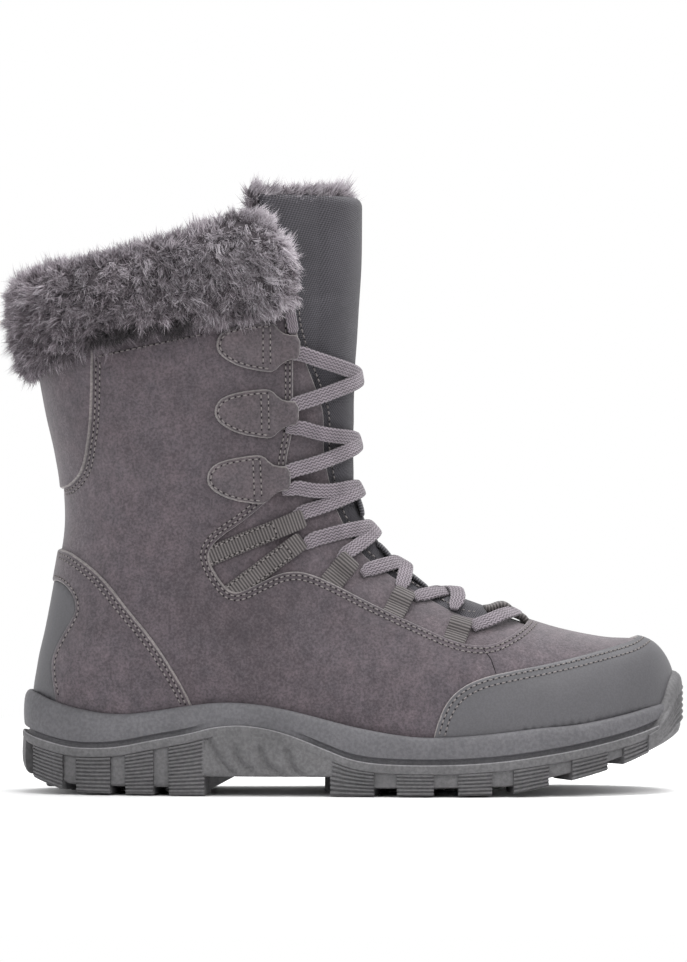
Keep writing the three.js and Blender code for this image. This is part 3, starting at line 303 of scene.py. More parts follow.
# Chart of the surface in millimetres: how far round from the front line, how far along
CHART_RADIUS = 42.0
HALF = CHART_RADIUS * math.pi
chart_stations = np.linspace(0, LAST, 1081)
chart_steps = np.mean([
    np.linalg.norm(np.diff(surface(chart_stations, a), axis=0), axis=1) for a in (0.0, 1.57, 3.14)
], axis=0)
chart_lengths = np.concatenate([[0], np.cumsum(chart_steps)])


def to_chart(station, angle):
    return np.stack([np.asarray(angle) * CHART_RADIUS, np.interp(station, chart_stations, chart_lengths)], -1)


def from_chart(points):
    return np.interp(points[:, 1], chart_lengths, chart_stations), points[:, 0] / CHART_RADIUS


# Part of a side-view line that shows on the surface, as chart points. An end that leaves over the
# front or back line is brought onto it.
def trace(line, step=1.2):
    station, angle, raw = locate(densify(line, step))
    inside = (raw > 0) & (raw < 1)
    kept = to_chart(station[inside], angle[inside])
    index = np.flatnonzero(inside)
    if index[0] > 0:
        kept = np.vstack([snapped(kept[0]), kept])
    if index[-1] < len(inside) - 1:
        kept = np.vstack([kept, snapped(kept[-1])])
    return densify(kept, 2.0)


def snapped(point):
    edge = 0.0 if point[0] < HALF / 2 else HALF
    return np.array([edge, point[1]])


def height_on(line, x):
    return np.interp(x, line[:, 0], line[:, 1])


def softened(rows):
    return rounded(outline(rows), 3)


TOP_EDGE = softened([
    [-0.05, 1.24], [0, 1.229], [0.035, 1.158], [0.099, 1.096], [0.149, 1.089], [0.196, 1.114],
    [0.245, 1.146], [0.293, 1.165], [0.341, 1.158], [0.39, 1.128], [0.454, 1.065], [0.509, 1.011],
    [0.588, 0.896], [0.642, 0.896], [0.715, 0.95], [0.787, 1.017], [0.842, 1.029], [0.914, 1.083],
    [0.976, 1.147], [1.022, 1.18],
])
PARTING = softened([
    [-0.06, 1.06], [-0.022, 1.025], [0.004, 0.857], [0.053, 0.7], [0.085, 0.668], [0.133, 0.686],
    [0.193, 0.811], [0.245, 0.904], [0.277, 0.996], [0.309, 1.014], [0.341, 1.011],
    [0.39, 0.936], [0.454, 0.679], [0.509, 0.468], [0.607, 0.429], [0.715, 0.468],
    [0.824, 0.629], [0.896, 0.789], [0.947, 0.936], [0.99, 1.05], [1.03, 1.16],
])
FLOOR_LINE = outline([
    [-0.06, 1.04], [0, 1.035], [0.054, 1.007], [0.098, 1], [0.188, 1.004], [0.243, 1.028],
    [0.308, 1.056], [0.341, 1.05], [0.391, 1.018], [0.453, 0.857], [0.507, 0.696], [0.605, 0.625],
    [0.714, 0.661], [0.822, 0.814], [0.895, 0.964], [0.946, 1.042], [1.03, 1.1],
])
TREAD = softened([
    [-0.06, 0.9], [-0.025, 0.714], [-0.017, 0.464], [0.001, 0.279], [0.044, 0.093], [0.0725, 0],
    [0.725, 0], [0.769, 0.093], [0.851, 0.279], [0.911, 0.464], [0.954, 0.654], [0.992, 0.839],
    [1.014, 1.01], [1.03, 1.2],
])


# Angle on the outer half where each section crosses a height line, lowered by a drop
def crossing(stations, line, drop=0.0):
    def above(angle):
        point = surface(stations, angle)
        return point[:, 2] - height_on(line, point[:, 0]) + drop

    back = np.full(len(stations), math.pi)
    return bisect(lambda angle: above(angle) > 0, np.zeros(len(stations)), back), above(back) < 0


# Chart line under the sole's top edge, from the heel to the toe
def tucked_line(drop):
    stations = np.arange(LAST - 2, 0, -0.1)
    angle, reaches = crossing(stations, TOP_EDGE, drop)
    chain = to_chart(stations[reaches], angle[reaches])
    chain[0, 0] = HALF
    return chain, np.array([[HALF, chain[-1, 1]], [HALF, 0.0]])


def inside_polygon(points, polygon):
    inside = np.zeros(len(points), bool)
    x, y = points[:, 0], points[:, 1]
    for (x0, y0), (x1, y1) in zip(polygon, np.roll(polygon, -1, axis=0)):
        if y0 == y1:
            continue
        crosses = (y0 > y) != (y1 > y)
        inside ^= crosses & (x < (x1 - x0) * (y - y0) / (y1 - y0) + x0)
    return inside


def distance_to(points, line):
    best = np.full(len(points), FAR)
    for a, b in zip(line[:-1], line[1:]):
        way = b - a
        t = np.clip(((points - a) @ way) / max(way @ way, 1e-12), 0, 1)
        best = np.minimum(best, np.linalg.norm(points - a - t[:, None] * way, axis=1))
    return best


def nearest(points, lines):
    return np.min([np.full(len(points), FAR)] + [distance_to(points, line) for line in lines], axis=0)


RINGS = (0.42, 0.95)
WELD_DISTANCE = 0.02


# Chart polygon cut into triangles, with rings of points close to its free edges
def chart_mesh(polygon, spacing, free):
    polygon = densify(np.vstack([polygon, polygon[:1]]), spacing)[:-1]
    polygon = polygon[np.linalg.norm(polygon - np.roll(polygon, 1, axis=0), axis=1) > 0.05]
    low, high = polygon.min(0), polygon.max(0)
    rows = []
    for k, row in enumerate(np.arange(low[1], high[1], spacing * 0.87)):
        across = np.arange(low[0] + (k % 2) * spacing / 2, high[0], spacing)
        rows.append(np.stack([across, np.full(len(across), row)], -1))
    grid = np.vstack(rows)
    grid = grid[inside_polygon(grid, polygon)]
    loop = np.vstack([polygon, polygon[:1]])
    grid = grid[distance_to(grid, loop) > 0.5 * spacing]
    for line in free:
        grid = grid[distance_to(grid, line) > 1.2]
        for inset in RINGS:
            for sign in (-1, 1):
                ring = line - sign * inset * sideways(line)
                ring = ring[inside_polygon(ring, polygon)]
                if len(ring):
                    grid = np.vstack([grid, ring[distance_to(ring, loop) > 0.6 * inset]])
    points = np.vstack([polygon, grid])
    count = len(polygon)
    edges = [(k, (k + 1) % count) for k in range(count)]
    verts, _, faces, _, _, _ = delaunay_2d_cdt([Vector(p) for p in points], edges, [], 1, 1e-5)
    return np.array([(v[0], v[1]) for v in verts]), np.array(faces)


def weld(points, faces):
    keys = np.round(points / WELD_DISTANCE).astype(np.int64)
    _, first, index = np.unique(keys, axis=0, return_index=True, return_inverse=True)
    faces = index.reshape(-1)[faces]
    distinct = np.array([len(set(face)) == len(face) for face in faces.tolist()])
    return first, faces[distinct]


# Closed shell over both halves of the boot, or one, from a chart mesh and its two offsets. Returns
# points, faces, a flag for each face (0 outside, 1 at a free edge, 2 inside), and chart places as uv.
def shell(chart, triangles, outer, inner, halves, free):
    station, angle = from_chart(chart)
    count = len(station)
    near_rim = nearest(chart, free) < RINGS[0] + 0.06
    places = np.vstack([np.stack([station, sign * angle], -1) for sign in halves])
    faces = np.vstack([triangles[:, ::sign] + k * count for k, sign in enumerate(halves)])
    uvs = np.vstack([chart * np.array([sign, 1]) for sign in halves])
    near_rim, outer, inner = (
        np.tile(np.broadcast_to(values, count), len(halves)) for values in (near_rim, outer, inner)
    )
    first, faces = weld(surface(places[:, 0], places[:, 1]), faces)
    places, uvs = places[first], uvs[first]
    top = skin(places[:, 0], places[:, 1], outer[first])
    under = skin(places[:, 0], places[:, 1], inner[first])
    count = len(top)
    edges = np.vstack([faces[:, [0, 1]], faces[:, [1, 2]], faces[:, [2, 0]]])
    forward = edges[:, 0] * count + edges[:, 1]
    backward = edges[:, 1] * count + edges[:, 0]
    start, end = edges[~np.isin(forward, backward)].T
    walls = np.vstack([
        np.column_stack([end, start, start + count]), np.column_stack([end, start + count, end + count]),
    ])
    at_edge = near_rim[first][faces].all(1)
    flags = np.concatenate([at_edge, np.full(len(faces), 2), np.ones(len(walls))]).astype(int)
    all_faces = np.vstack([faces, faces[:, ::-1] + count, walls])
    return np.vstack([top, under]), all_faces, flags, np.vstack([uvs, uvs])


# Mesh object from arrays in millimetres, all faces with the same number of corners
def build(name, points, faces, materials, index=None, uv=None, tone=None, smooth=True, sharp=None):
    faces = np.asarray(faces)
    mesh = bpy.data.meshes.new(name)
    mesh.vertices.add(len(points))
    mesh.vertices.foreach_set("co", (np.asarray(points) * MM).astype(np.float32).reshape(-1))
    mesh.loops.add(faces.size)
    mesh.loops.foreach_set("vertex_index", faces.reshape(-1).astype(np.int32))
    mesh.polygons.add(len(faces))
    mesh.polygons.foreach_set("loop_start", np.arange(0, faces.size, faces.shape[1], dtype=np.int32))
    mesh.update(calc_edges=True)
    mesh.validate()
    for material in materials:
        mesh.materials.append(material)
    if index is not None and len(index) == len(mesh.polygons):
        mesh.polygons.foreach_set("material_index", np.asarray(index).astype(np.int32))
    mesh.polygons.foreach_set("use_smooth", np.full(len(mesh.polygons), smooth))
    if sharp:
        mesh.set_sharp_from_angle(angle=math.radians(sharp))
    if uv is not None:
        used = np.empty(len(mesh.loops), np.int32)
        mesh.loops.foreach_get("vertex_index", used)
        layer = mesh.uv_layers.new(name="place")
        layer.data.foreach_set("uv", np.asarray(uv, np.float32)[used].reshape(-1))
    if tone is not None:
        layer = mesh.attributes.new("tone", "FLOAT", "POINT")
        layer.data.foreach_set("value", np.asarray(tone, np.float32))
    thing = bpy.data.objects.new(name, mesh)
    bpy.context.scene.collection.objects.link(thing)
    return thing


def fit(thing, slot, *nodes):
    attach(thing, "root")
    if nodes:
        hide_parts(*nodes)


# Points, faces and third arrays of several parts as one
def join_arrays(parts):
    points, faces, extra, start = [], [], [], 0
    for part_points, part_faces, part_extra in parts:
        points.append(part_points)
        faces.append(np.asarray(part_faces) + start)
        extra.append(part_extra)
        start += len(part_points)
    return np.vstack(points), np.vstack(faces), np.concatenate(extra)


# Grid of points as quads, open or closed across
def grid_faces(rows, columns, closed=False):
    across = columns if closed else columns - 1
    r, c = np.meshgrid(np.arange(rows - 1), np.arange(across), indexing="ij")
    a = (r * columns + c).reshape(-1)
    b = (r * columns + (c + 1) % columns).reshape(-1)
    return np.column_stack([a, b, b + columns, a + columns])


def halved(quads):
    return np.vstack([quads[:, [0, 1, 2]], quads[:, [0, 2, 3]]])


# Faces of a closed body, turned so that they all look outwards
def outward(points, faces):
    a, b, c = points[faces[:, 0]], points[faces[:, 1]], points[faces[:, 2]]
    return faces if (a * np.cross(b, c)).sum() >= 0 else faces[:, ::-1]


# Fans of triangles that close both ends of a swept body
def with_ends(points, faces, rows):
    count = len(points)
    k = np.arange(rows)
    after = (k + 1) % rows
    first = np.column_stack([np.full(rows, count), after, k])
    last = np.column_stack([np.full(rows, count + 1), count - rows + k, count - rows + after])
    points = np.vstack([points, points[:rows].mean(0), points[-rows:].mean(0)])
    return points, np.vstack([faces, first, last])


# Quads round the border of a grid, between it and a second grid behind it
def border_walls(rows, columns):
    count = rows * columns
    index = np.arange(count).reshape(rows, columns)
    ring = np.concatenate([index[0, :-1], index[:-1, -1], index[-1, :0:-1], index[:0:-1, 0]])
    after = np.roll(ring, -1)
    return np.column_stack([ring, after, after + count, ring + count])


# Closed slab between two grids of points
def slab(low, high):
    rows, columns = low.shape[:2]
    quads = grid_faces(rows, columns)
    faces = np.vstack([quads[:, ::-1], quads + rows * columns, border_walls(rows, columns)])
    points = np.vstack([low.reshape(-1, 3), high.reshape(-1, 3)])
    return points, outward(points, halved(faces))


# Material with helpers for its nodes
class Nodes:
    def __init__(self, name):
        self.material = bpy.data.materials.new(name)
        self.material.use_nodes = True
        self.tree = self.material.node_tree
        self.shader = self.tree.nodes["Principled BSDF"]
        self.coordinates = self.tree.nodes.new("ShaderNodeTexCoord")

    def add(self, kind, **values):
        made = self.tree.nodes.new(kind)
        for key, value in values.items():
            setattr(made, key, value)
        return made

    def link(self, source, target):
        self.tree.links.new(source, target)

    def noise(self, scale, detail, roughness, stretch=None):
        texture = self.add("ShaderNodeTexNoise")
        texture.inputs["Scale"].default_value = scale
        texture.inputs["Detail"].default_value = detail
        texture.inputs["Roughness"].default_value = roughness
        source = self.coordinates.outputs["Object"]
        if stretch:
            mapping = self.add("ShaderNodeMapping")
            mapping.inputs["Scale"].default_value = stretch
            self.link(source, mapping.inputs["Vector"])
            source = mapping.outputs["Vector"]
        self.link(source, texture.inputs["Vector"])
        return texture.outputs["Fac"]

    def split(self, coordinate):
        maker = self.add("ShaderNodeSeparateXYZ")
        self.link(self.coordinates.outputs[coordinate], maker.inputs[0])
        return maker.outputs

    def ramp(self, source, low, high, start, end, *steps):
        ramp = self.add("ShaderNodeValToRGB")
        stops = ramp.color_ramp.elements
        for stop, position, color in ((stops[0], start, low), (stops[1], end, high)):
            stop.position = position
            stop.color = (*color, 1)
        for position, color in steps:
            stops.new(position).color = (*color, 1)
        self.link(source, ramp.inputs["Fac"])
        return ramp.outputs["Color"]

    def times(self, color, *layers):
        for layer in layers:
            mixer = self.add("ShaderNodeMix", data_type="RGBA", blend_type="MULTIPLY")
            mixer.inputs[0].default_value = 1.0
            self.link(color, mixer.inputs[6])
            self.link(layer, mixer.inputs[7])
            color = mixer.outputs[2]
        return color

    def math(self, operation, *values):
        maker = self.add("ShaderNodeMath", operation=operation)
        for value, socket in zip(values, maker.inputs):
            if isinstance(value, (int, float)):
                socket.default_value = value
            else:
                self.link(value, socket)
        return maker.outputs[0]

    def bump(self, *heights):
        last = None
        for height, strength, distance in heights:
            maker = self.add("ShaderNodeBump")
            maker.inputs["Strength"].default_value = strength
            maker.inputs["Distance"].default_value = distance
            self.link(height, maker.inputs["Height"])
            if last:
                self.link(last, maker.inputs["Normal"])
            last = maker.outputs["Normal"]
        self.link(last, self.shader.inputs["Normal"])

    def finish(self, color, roughness, specular, sheen=0.0, sheen_roughness=0.5):
        self.link(color, self.shader.inputs["Base Color"])
        if isinstance(roughness, float):
            self.shader.inputs["Roughness"].default_value = roughness
        else:
            self.link(roughness, self.shader.inputs["Roughness"])
        self.shader.inputs["Specular IOR Level"].default_value = specular
        self.shader.inputs["Sheen Weight"].default_value = sheen
        self.shader.inputs["Sheen Roughness"].default_value = sheen_roughness
        return self.material


# Colour as it shows under the stage's light, turned into the surface's own linear colour
LIGHT_LEVEL = 0.62


def linear(color, gain=1.0):
    return tuple(min(LIGHT_LEVEL * gain * ((c / 255 + 0.055) / 1.055) ** 2.4, 1.0) for c in color)


def grey(level):
    return (level, level, level)


def suede(name, color):
    nodes = Nodes(name)
    patches = nodes.noise(90, 3, 0.6)
    tone = nodes.ramp(nodes.noise(17, 4, 0.6), linear(color, 0.85), linear(color, 1.15), 0.36, 0.66)
    warm = nodes.ramp(patches, (0.92, 0.94, 0.95), (1.07, 1.05, 1.05), 0.35, 0.68)
    strokes = nodes.noise(230, 3, 0.65, (1.0, 1.0, 0.6))
    brushed = nodes.ramp(strokes, (0.86, 0.86, 0.87), (1.14, 1.13, 1.13), 0.36, 0.66)
    speck = nodes.ramp(nodes.noise(900, 3, 0.7), grey(0.74), grey(1.26), 0.38, 0.64)
    # Painted light and shade along the foot's length: the suede is lighter over the vamp at the toe end and
    # towards the heel, and darker over the ankle.
    length = nodes.math("MULTIPLY", nodes.split("Object")[0], 4.0)
    painted_light_along_foot = nodes.ramp(length, grey(1.12), grey(1.22), 0.02, 0.72, (0.24, grey(0.9)), (0.48, grey(0.96)))
    nodes.bump((nodes.noise(1500, 3, 0.7), 0.55, 0.0003), (patches, 0.35, 0.0005))
    return nodes.finish(nodes.times(tone, warm, brushed, speck, painted_light_along_foot), 0.93, 0.12, 0.25, 0.55)


def synthetic(name, color):
    nodes = Nodes(name)
    clouds = nodes.noise(22, 3, 0.5)
    grain = nodes.noise(1300, 2, 0.5)
    tone = nodes.ramp(clouds, linear(color, 0.92), linear(color, 1.08), 0.35, 0.65)
    fine = nodes.ramp(grain, grey(0.93), grey(1.07), 0.4, 0.6)
    nodes.bump((grain, 0.12, 0.0001), (nodes.noise(60, 2, 0.5), 0.15, 0.0008))
    return nodes.finish(nodes.times(tone, fine), nodes.math("MULTIPLY_ADD", clouds, 0.15, 0.42), 0.35)


def rubber(name, color, mottle=0.13):
    nodes = Nodes(name)
    grain = nodes.noise(700, 3, 0.6)
    tone = nodes.ramp(nodes.noise(28, 4, 0.6), linear(color, 0.86), linear(color, 1.14), 0.35, 0.65)
    fine = nodes.ramp(grain, grey(1 - mottle), grey(1 + mottle), 0.38, 0.62)
    nodes.bump((grain, 0.3, 0.0002), (nodes.noise(110, 2, 0.5), 0.2, 0.0004))
    return nodes.finish(nodes.times(tone, fine), 0.62, 0.3)


# Woven cloth: two crossed sets of threads, or ribs, on the piece's own uv in millimetres
def woven(name, color, pitch, ribbed=False):
    nodes = Nodes(name)
    uv = nodes.split("UV")
    along = nodes.math("MULTIPLY", uv[1], 2 * math.pi / pitch)
    if ribbed:
        weave = nodes.math("SINE", along)
    else:
        across = nodes.math("MULTIPLY", uv[0], 2 * math.pi / pitch)
        twill = nodes.math("SINE", nodes.math("ADD", along, nodes.math("MULTIPLY", across, 0.5)))
        cross = nodes.math("SINE", nodes.math("SUBTRACT", across, nodes.math("MULTIPLY", along, 0.5)))
        weave = nodes.math("MULTIPLY", twill, cross)
    level = nodes.math("MULTIPLY_ADD", weave, 0.5, 0.5)
    tone = nodes.ramp(level, linear(color, 0.45), linear(color, 1.5), 0.1, 0.9)
    drift = nodes.ramp(nodes.noise(60, 3, 0.6), grey(0.9), grey(1.1), 0.35, 0.65)
    nodes.bump((level, 0.8, 0.0003), (nodes.noise(2200, 2, 0.6), 0.3, 0.0002))
    return nodes.finish(nodes.times(tone, drift), 0.72, 0.25, 0.1)


# Flat woven lace: threads that zigzag along its length
def herringbone(name, color):
    nodes = Nodes(name)
    uv = nodes.split("UV")
    fold = nodes.math("PINGPONG", uv[1], 1.15)
    slant = nodes.math("ADD", nodes.math("MULTIPLY", uv[0], 2 * math.pi / 1.35),
                       nodes.math("MULTIPLY", fold, 2 * math.pi / 2.1))
    level = nodes.math("MULTIPLY_ADD", nodes.math("SINE", slant), 0.5, 0.5)
    tone = nodes.ramp(level, linear(color, 0.45), linear(color, 1.25), 0.08, 0.6)
    drift = nodes.ramp(nodes.noise(120, 3, 0.6), grey(0.88), grey(1.12), 0.35, 0.65)
    nodes.bump((level, 0.9, 0.0004), (nodes.noise(2400, 2, 0.6), 0.4, 0.0002))
    return nodes.finish(nodes.times(tone, drift), 0.85, 0.15, 0.2)


# Fur: dark at the root and light at the tip, with the clump's tone: random variation, and on the cuff painted
# light and shade
def fur_material(name, dark, middle, light):
    nodes = Nodes(name)
    tone = nodes.add("ShaderNodeAttribute", attribute_name="tone").outputs["Fac"]
    color = nodes.ramp(tone, linear(dark), linear(light), 0.0, 1.0, (0.5, linear(middle)))
    drift = nodes.ramp(nodes.noise(45, 3, 0.6), (0.85, 0.85, 0.86), (1.15, 1.14, 1.15), 0.35, 0.65)
    return nodes.finish(nodes.times(color, drift), 0.7, 0.2, 0.15)


def thread(name, color):
    nodes = Nodes(name)
    twist = nodes.noise(2500, 2, 0.5)
    tone = nodes.ramp(twist, linear(color, 0.7), linear(color, 1.2), 0.35, 0.65)
    nodes.bump((twist, 0.5, 0.0002))
    return nodes.finish(tone, 0.8, 0.2)


def felt(name, color):
    nodes = Nodes(name)
    fibres = nodes.noise(900, 4, 0.7)
    tone = nodes.ramp(fibres, linear(color, 0.65), linear(color, 1.3), 0.3, 0.7)
    nodes.bump((fibres, 0.8, 0.0006))
    return nodes.finish(tone, 0.95, 0.1, 0.3, 0.6)


SUEDE = suede("suede", (97, 89, 94))
SUEDE_FACING = suede("suede_facing", (104, 95, 100))
SUEDE_TAB = suede("suede_tab", (106, 98, 102))
CUT_EDGE = suede("cut_edge", (146, 140, 139))
LINING = felt("fleece_lining", (92, 87, 91))
INSOLE_FELT = felt("insole_felt", (78, 75, 79))
SMOOTH = synthetic("coated_synthetic", (97, 96, 100))
MIDSOLE = rubber("midsole_rubber", (106, 105, 109))
OUTSOLE = rubber("outsole_rubber", (108, 107, 109), 0.156)
# Light grey for the band on the rim's top edge: a painted highlight.
RIM_HIGHLIGHT = rubber("sole_rim_highlight", (150, 149, 152))
NYLON = woven("tongue_nylon", (79, 77, 83), 1.45)
RIBBED = woven("ribbed_webbing", (100, 95, 95), 1.35, ribbed=True)
GUIDE = woven("guide_webbing", (88, 87, 92), 1.2, ribbed=True)
LACE = herringbone("woven_lace", (144, 135, 143))
FUR = fur_material("fur", (62, 58, 61), (152, 142, 149), (252, 246, 252))
THREAD = thread("thread", (150, 144, 143))
# Near black, for painted shade in the stitch holes and for the dark vamp seam.
HOLE_SHADE_AND_SEAM = thread("stitch_hole_shade_and_seam", (38, 34, 37))


# Suede and synthetic panels
THROAT = outline([
    [0.405, 2.94], [0.405, 2.407], [0.396, 2.335], [0.392, 2.267], [0.377, 2.208], [0.33, 2.127],
    [0.287, 2.071], [0.272, 2.03], [0.276, 1.98], [0.295, 1.865], [0.308, 1.822], [0.322, 1.816],
    [0.36, 1.889], [0.384, 1.931], [0.403, 1.943], [0.425, 1.937], [0.461, 1.883], [0.531, 1.744],
    [0.621, 1.586], [0.651, 1.538], [0.682, 1.507], [0.712, 1.507], [0.742, 1.556], [0.772, 1.635],
    [0.801, 1.762],
])
SHAFT_TOP = outline([[0.405, 2.94], [0.36, 2.99], [-0.1, 2.76]])
FACING_FREE = outline([
    [0.409, 2.79], [0.409, 2.734], [0.428, 2.616], [0.441, 2.553], [0.455, 2.478], [0.458, 2.438],
    [0.458, 2.332], [0.464, 2.282], [0.472, 2.204], [0.48, 2.151], [0.496, 2.095], [0.512, 2.042],
    [0.528, 2.01], [0.581, 1.883], [0.633, 1.775], [0.674, 1.695], [0.706, 1.695], [0.73, 1.8],
])
FACING_TUCK = outline([
    [0.81, 1.7], [0.79, 1.53], [0.75, 1.42], [0.68, 1.39], [0.62, 1.46], [0.53, 1.62],
    [0.46, 1.76], [0.41, 1.83], [0.36, 1.77], [0.31, 1.7], [0.27, 1.79], [0.24, 1.97], [0.235, 2.07],
    [0.3, 2.17], [0.345, 2.26], [0.365, 2.36], [0.375, 2.45], [0.375, 2.79],
])
TOE_SEAM = outline([
    [0.619, 0.7], [0.622, 0.903], [0.635, 1.126], [0.657, 1.235], [0.693, 1.308], [0.752, 1.356],
    [0.824, 1.404], [0.896, 1.465], [0.943, 1.513], [0.97, 1.6], [0.97, 1.8],
])
COUNTER_SEAM = outline([
    [-0.1, 2.05], [0.04, 2.047], [0.084, 1.986], [0.115, 1.877], [0.148, 1.713], [0.18, 1.568],
    [0.21, 1.404], [0.248, 1.15], [0.26, 0.9],
])
PATCH_EDGE = outline([
    [-0.1, 1.89], [0.03, 1.889], [0.051, 1.853], [0.066, 1.762], [0.065, 1.677], [0.048, 1.568],
    [0.03, 1.441], [0.027, 1.332], [0.035, 1.168], [0.04, 0.9],
])
PANEL_SEAM = outline([
    [-0.1, 2.208], [0.041, 2.214], [0.069, 2.26], [0.087, 2.341], [0.092, 2.494], [0.093, 2.62],
    [0.099, 2.9],
])
TAB_SHAPE = np.array([
    [0, 0], [0.003, 0.024], [0.014, 0.045], [0.036, 0.059], [0.076, 0.068], [0.089, 0.064],
    [0.097, 0.046], [0.105, 0.033], [0.126, 0.03], [0.125, -0.042], [0.109, -0.044], [0.099, -0.06],
    [0.09, -0.08], [0.078, -0.084], [0.036, -0.068], [0.012, -0.042], [0.002, -0.02],
])
TABS = [[0.285, 2.665, 0.0], [0.282, 2.459, 0.02], [0.27, 2.254, 0.04]]
CUFF_BOTTOM = outline([
    [-0.2, 2.55], [-0.06, 2.55], [-0.003, 2.556], [0.093, 2.644], [0.207, 2.69], [0.265, 2.714],
    [0.381, 2.749], [0.5, 2.77],
])
CUFF_TOP = outline([
    [-0.2, 2.84], [-0.033, 2.877], [0.024, 2.921], [0.099, 2.949], [0.175, 2.986], [0.232, 3.02],
    [0.289, 3.07], [0.33, 3.09], [0.366, 3.075], [0.388, 3.035], [0.402, 2.985], [0.425, 2.9],
    [0.5, 2.84],
])
SPACING = 2.1
TUCK = 5.0
EDGE_SHARE = 0.35
TAB_BULGE = 2.3


def edge_profile(chart, lines, thickness, radius, least):
    t = np.clip(nearest(chart, lines) / radius, 0, 1)
    return thickness * (least + (1 - least) * np.sqrt(1 - (1 - t) ** 2))


def upper():
    throat = trace(rounded(THROAT[::-1]))
    top = trace(SHAFT_TOP)
    bottom, toe = tucked_line(TUCK)
    front = np.array([[0.0, 0.0], [0.0, throat[0, 1]]])
    polygon = np.vstack([front, throat, top[1:], bottom, toe])
    free = [throat, top]
    chart, triangles = chart_mesh(polygon, SPACING, free)
    outer = edge_profile(chart, free, 0.7, 1.0, 0.0) - 0.7
    points, faces, flags, uv = shell(chart, triangles, outer, -UPPER_WALL, BOTH, free)
    fit(build("upper_suede", points, faces, [SUEDE, CUT_EDGE, LINING], flags, uv), "suede", "upper")


# Panel of one material with a light cut edge along its free edges
def panel(name, chart, triangles, outer, inner, free, material, node, slot="suede", halves=BOTH):
    points, faces, flags, uv = shell(chart, triangles, outer, inner, halves, free)
    flags = np.where(flags == 2, 0, flags)
    fit(build(name, points, faces, [material, CUT_EDGE], flags, uv), slot, node)


# Overlay from its outline on the chart and the free edges in it
def overlay(name, polygon, free, material, node, slot="suede", rise=OVERLAY + GAP):
    chart, triangles = chart_mesh(polygon, SPACING, free)
    outer = edge_profile(chart, free, rise, 1.1, EDGE_SHARE)
    panel(name, chart, triangles, outer, -TUCK_UNDER, free, material, node, slot)


def down_to(line, bottom):
    return line[: np.argmin(distance_to(line, bottom)) + 1]


def overlays():
    bottom, toe = tucked_line(2.0)
    toe_seam = trace(rounded(TOE_SEAM))
    cap_low = toe_seam[np.argmin(distance_to(toe_seam, bottom))]
    toe_seam = toe_seam[toe_seam[:, 0] <= cap_low[0] + 0.01]
    low = bottom[(bottom[:, 1] > 0) & (bottom[:, 1] < toe_seam[0, 1])][::-1]
    cap = np.vstack([toe_seam, [[0.0, 0.0]], toe[::-1], low])
    overlay("toe_cap_synthetic", cap, [toe_seam], SMOOTH, "toe_cap", "smooth_synthetic")

    counter = down_to(trace(rounded(COUNTER_SEAM)), bottom)
    patch = down_to(trace(rounded(PATCH_EDGE)), bottom)
    low = bottom[(bottom[:, 0] > counter[-1, 0]) & (bottom[:, 0] < patch[-1, 0])]
    back = np.array([[HALF, patch[0, 1]], [HALF, counter[0, 1]]])
    polygon = np.vstack([counter, low[::-1], patch[::-1], back])
    overlay("heel_counter_suede", polygon, [counter, patch], SUEDE, "heel_counter")

    polygon = np.vstack([patch, bottom[bottom[:, 0] > patch[-1, 0]][::-1]])
    overlay("heel_patch_synthetic", polygon, [], SMOOTH, "heel_patch", "smooth_synthetic", rise=0.9)

    seam = trace(rounded(PANEL_SEAM))
    polygon = np.vstack([seam, [[HALF, seam[-1, 1]], [HALF, seam[0, 1]]]])
    overlay("collar_back_suede", polygon, [seam], SUEDE, "collar_back_panel")


def facing():
    free = trace(rounded(FACING_FREE))
    chart, triangles = chart_mesh(np.vstack([free, trace(rounded(FACING_TUCK))]), SPACING, [free])
    outer = FACING_OUTER - 0.4 + edge_profile(chart, [free], 0.4, 1.0, 0.0)
    panel("throat_facing", chart, triangles, outer, FACING_INNER, [free], SUEDE_FACING, "facing")


# Points of a tab's own drawing, turned and put in their place in the side view
def on_tab(points, row):
    along, level, turn = row
    cosine, sine = math.cos(turn), math.sin(turn)
    return points @ np.array([[cosine, sine], [-sine, cosine]]) + place(along, level)


def tab_outline(row, inset=0.0):
    points = on_tab(TAB_SHAPE * np.array([FOOT_LENGTH, LEVELS[3] - LEVELS[2]]), row)
    closed = np.vstack([points, points[:1]])
    middle = rounded(np.vstack([closed[-2:-1], closed, closed[1:2]]), 1)
    return (middle + inset * sideways(middle))[2:-2]


# The front flap of a tab bulges over the lace that runs behind it
def tab_bulge(points, row):
    reach = (points[:, 0] - foot_x(row[0])) / FOOT_LENGTH
    return TAB_BULGE * smooth_step((reach - 0.094) / 0.02)


def tabs():
    for number, row in enumerate(TABS, 1):
        line = trace(tab_outline(row), STITCH_STEP)
        chart, triangles = chart_mesh(line[:-1], 1.3, [line])
        station, angle = from_chart(chart)
        bulge = tab_bulge(surface(station, angle)[:, [0, 2]], row)
        outer = edge_profile(chart, [line], TAB_THICKNESS, 1.2, EDGE_SHARE) + bulge
        inner = np.where(bulge > 0.3, outer - 1.5, -TUCK_UNDER)
        for side, half in (("outer", (1,)), ("inner", (-1,))):
            name, node = f"tab_{side}_{number}", f"lace_tab_{side}_{number}"
            panel(name, chart, triangles, outer, inner, [line], SUEDE_TAB, node, halves=half)


# Rows of stitches from surface places, as joined small capsules with a dark pit at each end, painted shade in
# the stitch hole
CAPSULE_RINGS = [(-1.0, 0.3, -0.9), (-0.45, 0.95, 0.2), (0.45, 0.95, 0.2), (1.0, 0.3, -0.9)]
CAPSULE_SIDES = 5


